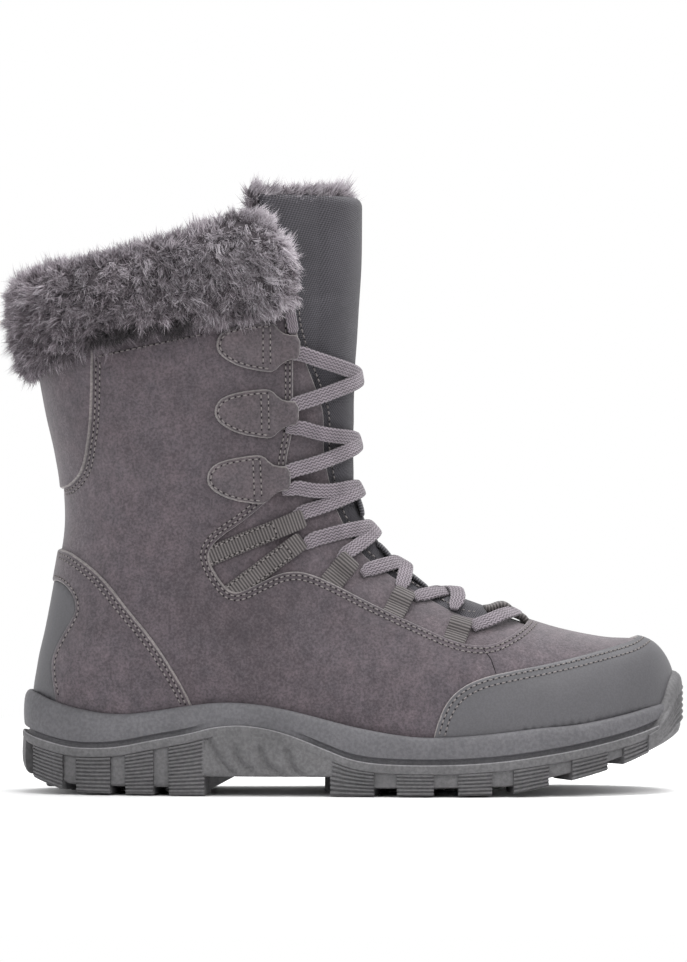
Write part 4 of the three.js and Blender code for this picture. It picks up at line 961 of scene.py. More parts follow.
def capsule():
    points = []
    for along, size, lift in CAPSULE_RINGS:
        for k in range(CAPSULE_SIDES):
            turn = 2 * math.pi * k / CAPSULE_SIDES
            points.append([along, size * math.cos(turn), lift + size * math.sin(turn)])
    rows = len(CAPSULE_RINGS)
    last = (rows - 1) * CAPSULE_SIDES
    ends = [[0, k + 1, k] for k in range(1, CAPSULE_SIDES - 1)]
    ends += [[last, last + k, last + k + 1] for k in range(1, CAPSULE_SIDES - 1)]
    return np.array(points), np.vstack([halved(grid_faces(rows, CAPSULE_SIDES, closed=True)), ends])


CAPSULE = capsule()
DIMPLE = (
    np.array([[0, 0, 0.1]] + [[math.cos(k * 1.2566), math.sin(k * 1.2566), 0.0] for k in range(5)]
             + [[0, 0, -1.0]]),
    np.array([[0, k + 1, (k + 1) % 5 + 1] for k in range(5)]
             + [[6, (k + 1) % 5 + 1, k + 1] for k in range(5)]),
)


def along_path(points, normals, pitch):
    lengths = path_lengths(points)
    places = np.arange(pitch * 0.5, lengths[-1] - 0.3 * pitch, pitch)
    middle = sample(points, lengths, places)
    up = sample(normals, lengths, places)
    way = sample(points, lengths, places + 0.3) - middle
    keep = np.linalg.norm(way, axis=1) > 1e-6
    middle, up, way = middle[keep], up[keep], unit(way[keep])
    up = unit(up - (up * way).sum(1, keepdims=True) * way)
    return middle, way, np.cross(up, way), up


def copies(template, places, scale):
    shape, faces = template
    middle, way, across, up = places
    points = (middle[:, None, :] + scale[0] * shape[None, :, 0:1] * way[:, None, :]
              + scale[1] * shape[None, :, 1:2] * across[:, None, :]
              + scale[2] * shape[None, :, 2:3] * up[:, None, :])
    index = faces[None, :, :] + (np.arange(len(middle)) * len(shape))[:, None, None]
    return points.reshape(-1, 3), index.reshape(-1, 3)


STITCH_PITCH = 2.6
stitch_parts = []


def stitch(station, angle, offset, pitch):
    for sign in BOTH:
        path = surface(station, sign * angle)
        out = normal(station, sign * angle)
        path = path + out * (offset + relief(path))[:, None]
        middle, way, across, up = along_path(path, out, pitch)
        points, faces = copies(CAPSULE, (middle, way, across, up), (0.34 * pitch, 0.36, 0.36))
        stitch_parts.append((points, faces, np.zeros(len(faces), int)))
        # Dark pit at each stitch end: painted shade in the stitch hole.
        holes = middle + way * pitch * 0.5
        points, faces = copies(DIMPLE, (holes, way, across, up), (0.42, 0.42, 0.5))
        stitch_parts.append((points, faces, np.ones(len(faces), int)))


def stitch_line(line, offset, inset=0.0, pitch=STITCH_PITCH):
    station, angle, raw = locate(densify(line + inset * sideways(line), STITCH_STEP))
    inside = (raw > 0.004) & (raw < 0.996)
    offset = np.broadcast_to(offset, station.shape)
    stitch(station[inside], angle[inside], offset[inside], pitch)


def above_sole(line):
    dense = densify(line, STITCH_STEP)
    return dense[dense[:, 1] > height_on(TOP_EDGE, dense[:, 0]) + 1.0]


def below_cuff(line):
    dense = densify(line, STITCH_STEP)
    return dense[dense[:, 1] < height_on(CUFF_BOTTOM, dense[:, 0]) - 2.0]


# Short dark seam across the vamp, between the throat and the toe cap
def vamp_seam():
    parts = []
    line = densify(outline([[0.7, 1.484], [0.712, 1.42], [0.719, 1.34]]), STITCH_STEP)
    station, angle, _ = locate(line)
    for sign in BOTH:
        path = surface(station, sign * angle)
        out = normal(station, sign * angle)
        points, faces, _ = strip(path + out * relief(path)[:, None], out, 0.4, 0.36, sides=6)
        parts.append((points, faces, np.ones(len(faces), int)))
    return join_arrays(parts)


def stitches():
    raised = OVERLAY + GAP + 0.1
    rows = [
        (below_cuff(rounded(THROAT)), 0.15, (1.7, 3.5)),
        (above_sole(rounded(TOE_SEAM)), raised, (1.9, 4.3)),
        (above_sole(rounded(COUNTER_SEAM)), raised, (1.9, 3.8)),
        (above_sole(rounded(PATCH_EDGE)), raised, (-1.9,)),
        (below_cuff(rounded(PANEL_SEAM)), 0.15, (1.3, 3.0)),
        (rounded(FACING_FREE), FACING_OUTER + 0.12, (-2.2,)),
    ]
    for line, offset, insets in rows:
        for inset in insets:
            stitch_line(line, offset, inset)
    cuff_seam = densify(CUFF_BOTTOM[2:], STITCH_STEP) - np.array([0, 2.4])
    stitch_line(cuff_seam[cuff_seam[:, 0] < foot_x(0.27)], 0.3)
    rise = (LEVELS[3] - LEVELS[2]) * np.array([0.055, -0.07])
    for row in TABS:
        edge = tab_outline(row, 1.5)
        for line in (edge[26:], edge[:11]):
            stitch_line(line, TAB_THICKNESS + 0.05, pitch=2.8)
        for share in (0.082, 0.071):
            across = on_tab(np.stack([np.full(2, share * FOOT_LENGTH), rise], -1), row)
            stitch_line(across, TAB_THICKNESS + 0.05)
    stitch_parts.append(vamp_seam())
    points, faces, index = join_arrays(stitch_parts)
    fit(build("stitching", points, faces, [THREAD, HOLE_SHADE_AND_SEAM], index), "suede")


# Flat strip swept along a path: rounded section, uv across and along in millimetres
def strip(path, out, width, thickness, sides=14, ends=0.55, squareness=3.0, reach=1.2):
    lengths = path_lengths(path)
    way = unit(np.gradient(path, axis=0))
    out = unit(out - (out * way).sum(1, keepdims=True) * way)
    wide = np.cross(way, out)
    turn = 2 * math.pi * np.arange(sides) / sides
    x, z = (np.sign(wave) * np.abs(wave) ** (2 / squareness) for wave in (np.cos(turn), np.sin(turn)))
    near = np.minimum(lengths, lengths[-1] - lengths)
    taper = (ends + (1 - ends) * np.clip(near / reach, 0, 1))[:, None, None]
    points = (path[:, None, :] + width * taper / 2 * x[None, :, None] * wide[:, None, :]
              + thickness / 2 * taper * z[None, :, None] * out[:, None, :])
    quads = grid_faces(len(path), sides, closed=True)
    last = (len(path) - 1) * sides
    caps = [[0, k, k + 1] for k in range(1, sides - 1)]
    caps += [[last, last + k + 1, last + k] for k in range(1, sides - 1)]
    uv = np.stack([np.tile(x * LACE_WIDTH / 2, len(path)), np.repeat(lengths, sides)], -1)
    return points.reshape(-1, 3), np.vstack([quads[:, [0, 2, 1]], quads[:, [0, 3, 2]], caps]), uv


# Share of a section's way from back to front at which a side-view line crosses it
def share_on(line, station):
    fx, fz, bx, bz = section_at(station)[:4]
    cross = (fx - bx) * (line[:, 1] - bz) - (fz - bz) * (line[:, 0] - bx)
    for k in range(len(line) - 1):
        if cross[k] * cross[k + 1] <= 0 and cross[k] != cross[k + 1]:
            x, z = line[k] + (line[k + 1] - line[k]) * cross[k] / (cross[k] - cross[k + 1])
            reach = (x - bx) * (fx - bx) + (z - bz) * (fz - bz)
            return reach / ((fx - bx) ** 2 + (fz - bz) ** 2)
    return 0.85


def tongue_front(station):
    rise = smooth_step((station - 14) / 5)
    sink = 1 - smooth_step((station - 7.9) / 0.3)
    pillow = 2.1 * smooth_step((station - 7.95) / 0.35) * smooth_step((9.2 - station) / 0.35)
    return FACING_OUTER * (1 - rise) + pillow + (TONGUE_EDGE - FACING_OUTER) * sink


SHAFT_START = 16.0
edge_stations = np.linspace(6, LAST, 240)
edge_shares = np.minimum([share_on(FACING_FREE, s) for s in edge_stations], 0.97)


def tongue_offset(station, angle):
    table = section_at(station)
    widest, crown = table[..., 7], table[..., 8]
    edge = np.interp(station, edge_stations, edge_shares)
    share = widest + (1 - widest) * np.abs(np.cos(angle)) ** (2 / crown)
    bulge = smooth_step((share - edge) / (0.8 * (1 - edge)))
    return TONGUE_EDGE + (tongue_front(station) - TONGUE_EDGE) * bulge


def station_at_height(angle, height):
    low, high = np.full(len(angle), SHAFT_START), np.full(len(angle), float(LAST))
    return bisect(lambda station: surface(station, angle)[..., 2] < height, low, high)


TONGUE_TOP = place(0, 3.129)[1]
TONGUE_START = 6.4
TONGUE_GRID = (61, 180)
TONGUE_TOP_ANGLE = 1.12


def tongue():
    columns, rows = TONGUE_GRID
    across = np.linspace(-1, 1, columns)
    tops = station_at_height(TONGUE_TOP_ANGLE * across, TONGUE_TOP)
    share = 1 - (1 - np.linspace(0, 1, rows)[:, None]) ** 1.4
    station = TONGUE_START + share * (tops[None, :] - TONGUE_START)
    level = surface(station[:, columns // 2], 0.0)[:, 2:3]
    half_angle = TONGUE_TOP_ANGLE + (math.pi / 2 - TONGUE_TOP_ANGLE) * smooth_step((210 - level) / 30)
    angle = half_angle * across[None, :]
    outer = tongue_offset(station, angle)
    base, out = surface(station, angle), normal(station, angle)
    from_top = TONGUE_TOP - base[..., 2]
    from_side = (half_angle - np.abs(angle)) * CHART_RADIUS
    lip = np.sqrt(np.clip(1 - (1 - np.clip(np.minimum(from_top, from_side) / 4.0, 0, 1)) ** 2, 0, 1))
    middle = -0.5 * TONGUE + 0.5 * outer
    seam = -0.9 * np.exp(-(((np.abs(angle) * 40 - 27) / 1.1) ** 2)) * (station > 14)
    puff = 0.5 * np.sin(station * 2.1) * np.exp(-((angle / 0.5) ** 2)) * (station < 15)
    puff = puff + relief(base) * (1 - smooth_step((station - 12) / 2))
    front = middle + (outer + seam + puff - middle) * lip
    back = middle - (middle + TONGUE) * lip
    points = np.vstack([(base + out * offset[..., None]).reshape(-1, 3) for offset in (front, back)])
    quads = grid_faces(rows, columns)
    walls = border_walls(rows, columns)
    faces = np.vstack([quads, quads[:, ::-1] + rows * columns, walls])
    index = np.concatenate([np.zeros(len(quads)), np.ones(len(quads)), np.zeros(len(walls))])
    uv = to_chart(station, angle).reshape(-1, 2)
    piece = build("tongue_pad", points, faces, [NYLON, LINING], index, np.vstack([uv, uv]))
    fit(piece, "tongue_nylon", "tongue")


# Lace strands. Columns: upper end, crossing on the front line, lower end, as along and level.
LACE_ROWS = [
    [0.414, 2.64, 0.512, 2.581, 0.414, 2.49],
    [0.414, 2.413, 0.505, 2.376, 0.405, 2.285],
    [0.408, 2.229, 0.509, 2.229, 0.425, 2.155],
    [0.438, 2.07, 0.537, 2.12, 0.49, 2.03],
    [0.522, 1.955, 0.578, 2.005, 0.575, 1.865],
    [0.6, 1.8, 0.648, 1.822, 0.658, 1.74],
]
LACE_BAR = [0.692, 1.63, 0.752, 1.7]
STRAND_STEPS = 56


# One length of lace over the tongue. Over is 1 where it crosses on top, rest holds the heights of its
# ends, and spare is how far it runs on past both.
def strand(start, middle, end, side, over, rest, spare):
    (sa, aa, _), (sm, _, _), (sb, ab, _) = (locate(p) for p in (start, middle, end))
    t = np.linspace(-spare, 1 + spare, STRAND_STEPS)
    inner = np.clip(t, 0, 1)
    held = (1 - inner) * (1 - 2 * inner) * sa + 4 * inner * (1 - inner) * sm + inner * (2 * inner - 1) * sb
    station = held + (t - inner) * np.where(t < 0, -3 * sa + 4 * sm - sb, sa - 4 * sm + 3 * sb) * 0.4
    angle = side * (aa * (1 - t) - ab * t)
    out = normal(station, angle)
    hump = over * LACE_THICKNESS * 0.6 * smooth_step(1.6 - 5 * np.abs(t - 0.5))
    lift = tongue_front(np.maximum(station, 8.8)) + 0.9 + hump + LACE_THICKNESS / 2
    near_end = smooth_step(1 - (np.minimum(t, 1 - t) + spare) / 0.26)
    target = np.where(t < 0.5, rest[0], rest[1])
    path = surface(station, angle) + out * (lift * (1 - near_end) + target * near_end)[:, None]
    lean = 0.22 * np.sin(3 * t + side) + 0.1 * over
    out = out + lean[:, None] * np.cross(unit(np.gradient(path, axis=0)), out)
    return strip(path, out, LACE_WIDTH, LACE_THICKNESS, ends=0.5, reach=5.0)


# Height of each row's two ends over the boot's outer surface: under a tab, or in a webbing loop
LACE_RESTS = [[1.4, 1.4], [1.4, 1.4], [1.4, -0.9], [-0.9, -0.9], [-0.9, -0.9], [-0.9, -0.9]]


def lace():
    parts = []
    for row, rest in zip(LACE_ROWS, LACE_RESTS):
        start, middle, end = (place(row[k], row[k + 1]) for k in (0, 2, 4))
        for side, over in ((1, 0), (-1, 1)):
            parts.append(strand(start, middle, end, side, over, rest, 0.07))
    end, middle = (place(LACE_BAR[k], LACE_BAR[k + 1]) for k in (0, 2))
    parts.append(strand(end, middle, end, 1, 0, LACE_RESTS[-1], 0.06))
    route = densify(outline([[0.403, 2.70], [0.398, 2.76], [0.393, 2.83]]), STITCH_STEP)
    station, angle, _ = locate(route)
    for sign in BOTH:
        out = normal(station, sign * angle)
        path = surface(station, sign * angle) + out * LACE_RESTS[0][0]
        parts.append(strip(path, out, LACE_WIDTH - 1.5, LACE_THICKNESS))
    points, faces, uv = join_arrays(parts)
    nodes = [f"lace_crossing_{k}" for k in range(1, 7)] + ["lace_toe_bar"]
    fit(build("flat_lace", points, faces, [LACE], None, uv), "lace", *nodes)


# Webbing straps and loops in the throat, as strips between two places of the side view. Columns:
# start along and level, end along and level, width, and for a strap how far its cross row of stitches
# lies from the end, both in millimetres.
STRAPS = [
    [0.25, 1.992, 0.42, 2.134, 8.4, 13.5],
    [0.303, 1.8, 0.418, 2.066, 8.2, 7.5],
]
LOOPS = [
    [0.46, 1.86, 0.494, 2.008, 10.0],
    [0.556, 1.67, 0.58, 1.82, 9.6],
    [0.652, 1.515, 0.668, 1.655, 9.6],
]
STRAP_BULGE = 1.7
LOOP_BULGE = 2.3


def webbing_strip(row, sign, bulge):
    line = densify(place(np.array([row[0], row[2]]), np.array([row[1], row[3]])), 0.7)
    station, angle, _ = locate(line)
    base, out = surface(station, sign * angle), normal(station, sign * angle)
    t = np.linspace(0, 1, len(line))
    lift = -1.35 + bulge * smooth_step((t - 0.5) / 0.3) + relief(base)
    return strip(base + out * lift[:, None], out, row[4], WEBBING, sides=16, ends=0.8, squareness=5.0)


# Piece of webbing that runs along the front line, on a lift over the upper's outer surface
def front_strip(station, lift, width, thickness, ends, squareness):
    out = normal(station, 0.0)
    path = surface(station, 0.0) + out * lift[:, None]
    return strip(path, out, width, thickness, 20, ends, squareness)


def webbing():
    parts, nodes = [], []
    for sign, side in ((1, "outer"), (-1, "inner")):
        parts += [webbing_strip(row, sign, STRAP_BULGE) for row in STRAPS]
        parts += [webbing_strip(row, sign, LOOP_BULGE) for row in LOOPS]
        nodes += [f"strap_upper_{side}", f"strap_lower_{side}"]
        nodes += [f"lace_loop_{side}_{k}" for k in (1, 2, 3)]
    t = np.linspace(0, 1, 40)
    lie = smooth_step(t / 0.22) * smooth_step((1 - t) / 0.3)
    lift = -2.1 + 1.9 * lie + 2.2 * np.exp(-((t - 0.62) / 0.17) ** 2)
    parts.append(front_strip(7.1 + 1.12 * t, lift, 19.0, 3.4, 0.85, 4.0))
    points, faces, uv = join_arrays(parts)
    fit(build("throat_webbing", points, faces, [RIBBED], None, uv), "webbing", *nodes, "toe_loop")
    for row in STRAPS:
        start, end = place(row[0], row[1]), place(row[2], row[3])
        whole = np.linalg.norm(end - start)
        way = (end - start) / whole
        across = np.array([-way[1], way[0]]) * (row[4] / 2 - 1.1)
        reach = end - row[5] * way
        rows = [np.array([start + way, reach]) + shift for shift in (across, -across)]
        for line in rows + [np.array([reach + across, reach - across])]:
            line = densify(line, STITCH_STEP - 0.01)
            t = (line - start) @ way / whole
            stitch_line(line, -0.6 + STRAP_BULGE * smooth_step((t - 0.5) / 0.3), pitch=2.4)


GUIDES = [[13.6, 14.6], [11.5, 12.4], [9.75, 10.95]]


def guides():
    parts = []
    t = np.linspace(0, 1, 16)
    for low, high in GUIDES:
        station = low + (high - low) * t
        lift = tongue_front(station) - 0.6 + 1.1 * np.sin(math.pi * t) ** 0.5
        parts.append(front_strip(station, lift, 18.0, 2.2, 0.9, 3.5))
    points, faces, uv = join_arrays(parts)
    nodes = [f"tongue_guide_{k}" for k in (1, 2, 3)]
    fit(build("tongue_guides", points, faces, [GUIDE], None, uv), "webbing", *nodes)


# Line where the sole's top edge meets the upper, from the heel round the outer side to the toe and back
def seat_line():
    stations = np.arange(0.6, LAST - 2, 0.1)
    angle, reaches = crossing(stations, TOP_EDGE)
    stations, angle = stations[reaches], angle[reaches]

    def under(station):
        point = surface(station, math.pi)
        return point[2] < height_on(TOP_EDGE, point[0])

    heel = surface(bisect(under, stations[-1], stations[-1] + 0.2), math.pi)
    outer = surface(stations, angle)[::-1]
    inner = surface(stations, -angle)
    return np.vstack([heel[None], outer, surface(0.0, 0.0)[None], inner])[:, :2]


SEAT_COUNT = 1600


def periodic_smooth(values, passes):
    for _ in range(passes):
        values = 0.25 * np.roll(values, 1, axis=0) + 0.5 * values + 0.25 * np.roll(values, -1, axis=0)
    return values


# Closed loop in even steps. The steps are measured after a scale.
def resampled(loop, count, scale=1.0):
    closed = np.vstack([loop, loop[:1]])
    lengths = path_lengths(closed * scale)
    return sample(closed, lengths, np.linspace(0, lengths[-1], count, endpoint=False))


seat_points = periodic_smooth(resampled(seat_line(), SEAT_COUNT), 60)
seat_tangent = np.roll(seat_points, -3, axis=0) - np.roll(seat_points, 3, axis=0)
seat_tangent = periodic_smooth(seat_tangent, 60)
seat_tangent /= np.linalg.norm(seat_tangent, axis=1, keepdims=True)
seat_out = np.stack([seat_tangent[:, 1], -seat_tangent[:, 0]], -1)
if ((seat_points - seat_points.mean(0)) * seat_out).sum() < 0:
    seat_out = -seat_out


def seat(share, margin):
    place_on = np.mod(share, 1.0) * SEAT_COUNT
    low = np.floor(place_on).astype(int) % SEAT_COUNT
    t = (place_on - np.floor(place_on))[..., None]
    high = (low + 1) % SEAT_COUNT
    point = seat_points[low] * (1 - t) + seat_points[high] * t
    out = seat_out[low] * (1 - t) + seat_out[high] * t
    return point + np.asarray(margin)[..., None] * out


# Share of the loop for a place along the foot, on the outer (1) or inner (-1) side
def share_at(x, side):
    half, first = SEAT_COUNT // 2, SEAT_COUNT // 100
    index = np.arange(first, half) if side > 0 else np.arange(SEAT_COUNT - first, half, -1)
    along = np.maximum.accumulate(seat_points[index, 0])
    return np.interp(x, along, index / SEAT_COUNT)


# Block swept along the seat line: profile gives margins and heights for the places x of its columns
def seat_block(shares, profile, closed=False):
    margins, heights = profile(seat(shares, 0.0)[:, 0])
    columns, rows = margins.shape
    flat = seat(np.repeat(shares, rows), margins.reshape(-1))
    points = np.column_stack([flat, heights.reshape(-1)])
    turns = columns + 1 if closed else columns
    index = np.arange(turns * rows).reshape(turns, rows) % (columns * rows)
    a, b = index[:-1], index[1:]
    quads = np.stack([a, np.roll(a, -1, axis=1), np.roll(b, -1, axis=1), b], -1).reshape(-1, 4)
    faces = halved(quads)
    if not closed:
        points, faces = with_ends(points, faces, rows)
    return points, outward(points, faces)


# Profile of a bead along the parting line, from rows of margins and heights over it
def bead_profile(rows):
    table = np.array(rows, float)

    def profile(x):
        margins, rise = (np.broadcast_to(table[:, k], (len(x), len(table))) for k in (0, 1))
        return margins, rise + height_on(PARTING, x)[:, None]
    return profile


# Margins and heights of a wall, from rows of margins and shares of the way up
def wall(rows, low, high):
    table = np.array(rows)
    margins = np.repeat(table[None, :, 0], len(low), axis=0)
    return margins, low[:, None] + table[None, :, 1] * (high - low)[:, None]


# Soft window that is 1 between two places and fades over a distance
def window(x, start, end, fade):
    return smooth_step((x - start) / fade) * smooth_step((end - x) / fade)


BUMPER_EDGE = outline([
    [0.93, 0.9], [0.959, 1.023], [0.968, 1.1], [0.976, 1.156], [0.987, 1.253], [1.0, 1.335], [1.1, 1.34],
])


# Columns: height above the parting line in millimetres, share of the way up, margin, groove depth
MIDSOLE_WALL = np.array([
    [-3.5, 0, 2.6, 0], [-0.6, 0, 3.6, 0.2], [0.5, 0, 4.6, 1.0], [1.3, 0, 4.7, 1.8], [2.4, 0, 4.8, 2.0],
    [3.0, 0, 4.9, 1.7], [3.35, 0, 5.0, 0.7], [3.7, 0, 5.15, 0], [4.4, 0.02, 5.3, 0], [3.4, 0.22, 5.45, 0],
    [2.4, 0.4, 5.45, 0], [1.4, 0.58, 5.35, 0], [0.6, 0.74, 5.15, 0], [0.2, 0.86, 4.8, 0],
    [0, 0.93, 4.35, 0], [0, 0.975, 3.75, 0], [0, 1.0, 3.0, 0], [0, 1.0, 2.2, 0], [0, 0.985, 1.3, 0],
    [-0.2, 0.95, 0.5, 0], [-1.2, 0.9, -0.5, 0], [-4, 0.9, -1.5, 0],
])


def midsole_profile(x):
    parting = height_on(PARTING, x)[:, None]
    top = height_on(TOP_EDGE, x)[:, None]
    rise, share, margin, groove = (MIDSOLE_WALL[None, :, k] for k in range(4))
    heights = parting + rise + share * (top - parting)
    depth = window(x, -80, 50, 16) + window(x, 82, 400, 14)
    depth = depth * (1 - smooth_step((x - 236) / 6))
    margins = margin - groove * depth[:, None]
    margins = margins * (1 - 0.2 * smooth_step((x - 232) / 8))[:, None]
    low = np.minimum(parting - 3.0, top - 4.0)
    return np.hstack([margins, np.tile([-4.0, -3.0], (len(x), 1))]), np.hstack([heights, low + 1.0, low])


def midsole():
    points, faces = seat_block(np.arange(0, 1, 1 / 520), midsole_profile, closed=True)
    fit(build("midsole_wall", points, faces, [MIDSOLE], sharp=40), "midsole_rubber", "midsole")


# Section of the rim along the parting line, and of the light band on its top edge, a painted highlight.
# Columns: margin, height.
RIM_ROWS = [
    [2.2, -3.4], [4.6, -3.2], [5.5, -2.7], [5.85, -1.8], [5.95, -0.8], [5.95, 0.1], [5.75, 0.62],
    [5.3, 0.85], [4.6, 0.8], [3.2, 0.2], [-3.0, -0.5], [-3.0, -3.0],
]
RIM_HIGHLIGHT_ROWS = [[5.55, 0.45], [5.75, 0.85], [5.35, 1.15], [4.9, 0.95], [5.0, 0.45]]


# Fine ribs on a lug's front: their pitch, and margin and share of the pitch for one rib
RIBS = 1.75
RIB = [[4.75, 0], [5.35, 0.12], [5.55, 0.35], [5.35, 0.6], [4.75, 0.74], [4.6, 0.88]]


# Profile of a lug, lifted off the tread by a share of its depth, with or without ribs on its front
def lug_profile(ribbed, lift):
    def profile(x):
        low = height_on(TREAD, x) + lift * LUG_DEPTH
        high = height_on(PARTING, x) - 2.3
        rows = [[-LUG_REACH, 1.0], [-LUG_REACH, 0.12], [-LUG_REACH + 1.2, 0.0], [4.4, 0.0], [5.0, 0.025]]
        if ribbed:
            count = max(int(round((high - low).mean() / RIBS)), 2)
            size = 0.93 / count
            for k in range(count):
                rows += [[margin, 0.05 + 0.93 * k / count + share * size] for margin, share in RIB]
        else:
            rows += [[5.5, start] for start in np.linspace(0.08, 0.98, 16)]
        return wall(rows + [[4.9, 1.0]], low, high)
    return profile


LUGS = [
    [0.013, 0.053], [0.0725, 0.123], [0.147, 0.19], [0.214, 0.269], [0.464, 0.532], [0.568, 0.6225],
    [0.66, 0.711], [0.744, 0.796], [0.831, 0.884], [0.909, 0.947],
]
LUGS_BEFORE_GAPS = (0, 1, 2, 4, 5, 6, 7, 8)
SHANK_GROOVES = [
    [0.27, 0.99, 0.313, 0.33], [0.316, 0.71, 0.341, 0.39], [0.354, 0.71, 0.384, 0.34],
    [0.396, 0.69, 0.422, 0.28],
]


# Web between two lugs, set back from their fronts and less deep
def gap_profile(x):
    margins, heights = lug_profile(False, 0.38)(x)
    return margins - 1.5 * (margins > 3), heights


def shank_profile(x):
    margins, heights = lug_profile(False, 0.95)(x)
    spots = np.stack([np.broadcast_to(x[:, None], heights.shape), heights], -1).reshape(-1, 2)
    front = margins > 3
    for a0, l0, a1, l1 in SHANK_GROOVES:
        line = densify(place(np.array([a0, a1]), np.array([l0, l1])), 2.0)
        bow = 1.2 * np.sin(np.linspace(0, math.pi, len(line)))
        distance = distance_to(spots, line - bow[:, None]).reshape(heights.shape)
        margins -= front * 1.9 * np.exp(-((distance / 1.5) ** 2))
    ends = np.minimum(x - x[0], x[-1] - x)
    round_off = 1.4 * (1 - np.sqrt(1 - (1 - np.clip(ends / 2.5, 0, 1)) ** 2))
    margins[:, 4:] -= round_off[:, None] * (margins[:, 4:] > 0)
    return margins, heights


def bumper_profile(x):
    face = [[-3.33, 0], [-0.33, 0], [0.45, 0.0], [0.62, 0.04], [0.73, 0.12]]
    for k in range(6):
        start = 0.2 + 0.6 * k / 6
        face += [[0.72, start], [0.86, start + 0.02], [0.93, start + 0.045], [0.86, start + 0.075]]
    face += [[0.84, 0.83], [0.78, 0.89], [0.66, 0.94], [0.42, 0.985], [0.2, 1.0], [-0.1, 0.985],
             [-0.5, 0.9], [-1.2, 0.6], [-3.33, 0.4]]
    margins, heights = wall(face, height_on(TREAD, x), height_on(BUMPER_EDGE, x))
    reach, share = np.array(face).T
    front = np.exp(-(((x - x.max()) / 6.0) ** 2))[:, None]
    flat = np.interp(share, [0, 0.12, 0.8, 0.9, 1], [0.7, 1.02, 1.12, 1.02, 0.5])
    ridge = (share > 0.15) & (share < 0.82) & (reach > 0)
    margins = np.where(ridge[None, :], flat[None, :] * (1 - front) + margins * front, margins)
    return margins * SOLE_MARGIN, heights


def heel_profile(x):
    face = [[-3.33, 0], [-0.17, 0], [0.6, 0.0], [0.77, 0.04], [0.9, 0.14], [1.0, 0.3], [1.02, 0.5],
            [1.0, 0.7], [0.96, 0.9], [0.9, 1.0], [-3.33, 1]]
    margins, heights = wall(face, height_on(TREAD, x), height_on(PARTING, x) - 1.0)
    return margins * SOLE_MARGIN, heights


# Grid of places across the sole, between its two sides at a margin
def across_sole(count, inset, margin):
    ends = seat_points[:, 0].min() + inset, seat_points[:, 0].max() - inset
    shares = share_at(np.linspace(*ends, count), 1)
    mirror = share_at(seat(shares, 0.0)[:, 0], -1)
    outer, inner = seat(shares, margin)[:, None, :], seat(mirror, margin)[:, None, :]
    return outer * (1 - ACROSS[None, :, None]) + inner * ACROSS[None, :, None]


# Slab across the whole sole that carries the lugs
def web():
    flat = across_sole(140, 1.5, 3.0)
    tread, parting = height_on(TREAD, flat[..., 0]), height_on(PARTING, flat[..., 0])
    ceiling = np.minimum(tread + LUG_DEPTH, parting - 3.5)
    return slab(np.dstack([flat, ceiling]), np.dstack([flat, np.maximum(parting - 1.0, ceiling + 1.0)]))


TREAD_BARS = [
    [0.1, 0.13], [0.17, 0.13], [0.24, 0.13], [0.5, 0.17], [0.595, 0.2], [0.687, 0.2],
]


# Bars between the lugs, which end a little above the floor
GAP_BARS = [
    [0.063, 0.17], [0.135, 0.19], [0.202, 0.21], [0.55, 0.27], [0.641, 0.29], [0.728, 0.29],
    [0.8135, 0.26], [0.897, 0.18],
]
ACROSS = np.linspace(0, 1, 25)
BAR_AHEAD = 3
BAR_BEND = 9.268
BAR_TOP = LUG_DEPTH + 2.0
BAR_SECTION = np.array([
    [-6.6, 10.9], [-6.6, 1.0], [-6.0, 0.2], [-5.2, 0.0], [-1.0, 0.0], [-0.6, 1.2], [0.6, 1.2],
    [1.0, 0.0], [5.2, 0.0], [6.0, 0.2], [6.6, 1.0], [6.6, 10.9],
])


# Slanted front of the heel, behind the outer and inner rows of its lugs
def heel_breast():
    side = np.array([[30.0, 1.2], [47.5, 1.2], [61.0, 8.4], [61.0, 12.0], [30.0, 12.0]])
    points = np.vstack([np.column_stack([side[:, 0], np.full(5, y), side[:, 1]]) for y in (-31.0, 32.0)])
    k = np.arange(5)
    after = (k + 1) % 5
    walls = np.vstack([np.column_stack([k, after, after + 5]), np.column_stack([k, after + 5, k + 5])])
    caps = np.array([[0, 2, 1], [0, 3, 2], [0, 4, 3], [5, 6, 7], [5, 7, 8], [5, 8, 9]])
    return points, outward(points, np.vstack([walls, caps]))


# Swept chevron bars under the tread, with a thin groove along each
def tread_bar(along, half_width, raised=0.0):
    middle = foot_x(along)
    reach = half_width * BALL_WIDTH
    y = np.linspace(-reach, reach, len(ACROSS))
    bend = BAR_AHEAD - BAR_BEND * np.abs(y) / reach
    rows = len(BAR_SECTION)
    points = np.empty((len(y), rows, 3))
    points[..., 0] = middle + bend[:, None] + BAR_SECTION[None, :, 0]
    points[..., 1] = y[:, None]
    points[..., 2] = np.minimum(BAR_SECTION[None, :, 1] + raised, BAR_TOP) + height_on(TREAD, middle)
    faces = halved(grid_faces(len(y), rows, closed=True))
    flat, faces = with_ends(points.reshape(-1, 3), faces, rows)
    return flat, outward(flat, faces)


def side_block(start, end, side, profile, step=1.4):
    x0, x1 = foot_x(start), foot_x(end)
    count = max(int((x1 - x0) / step), 4)
    return seat_block(share_at(np.linspace(x0, x1, count), side), profile)


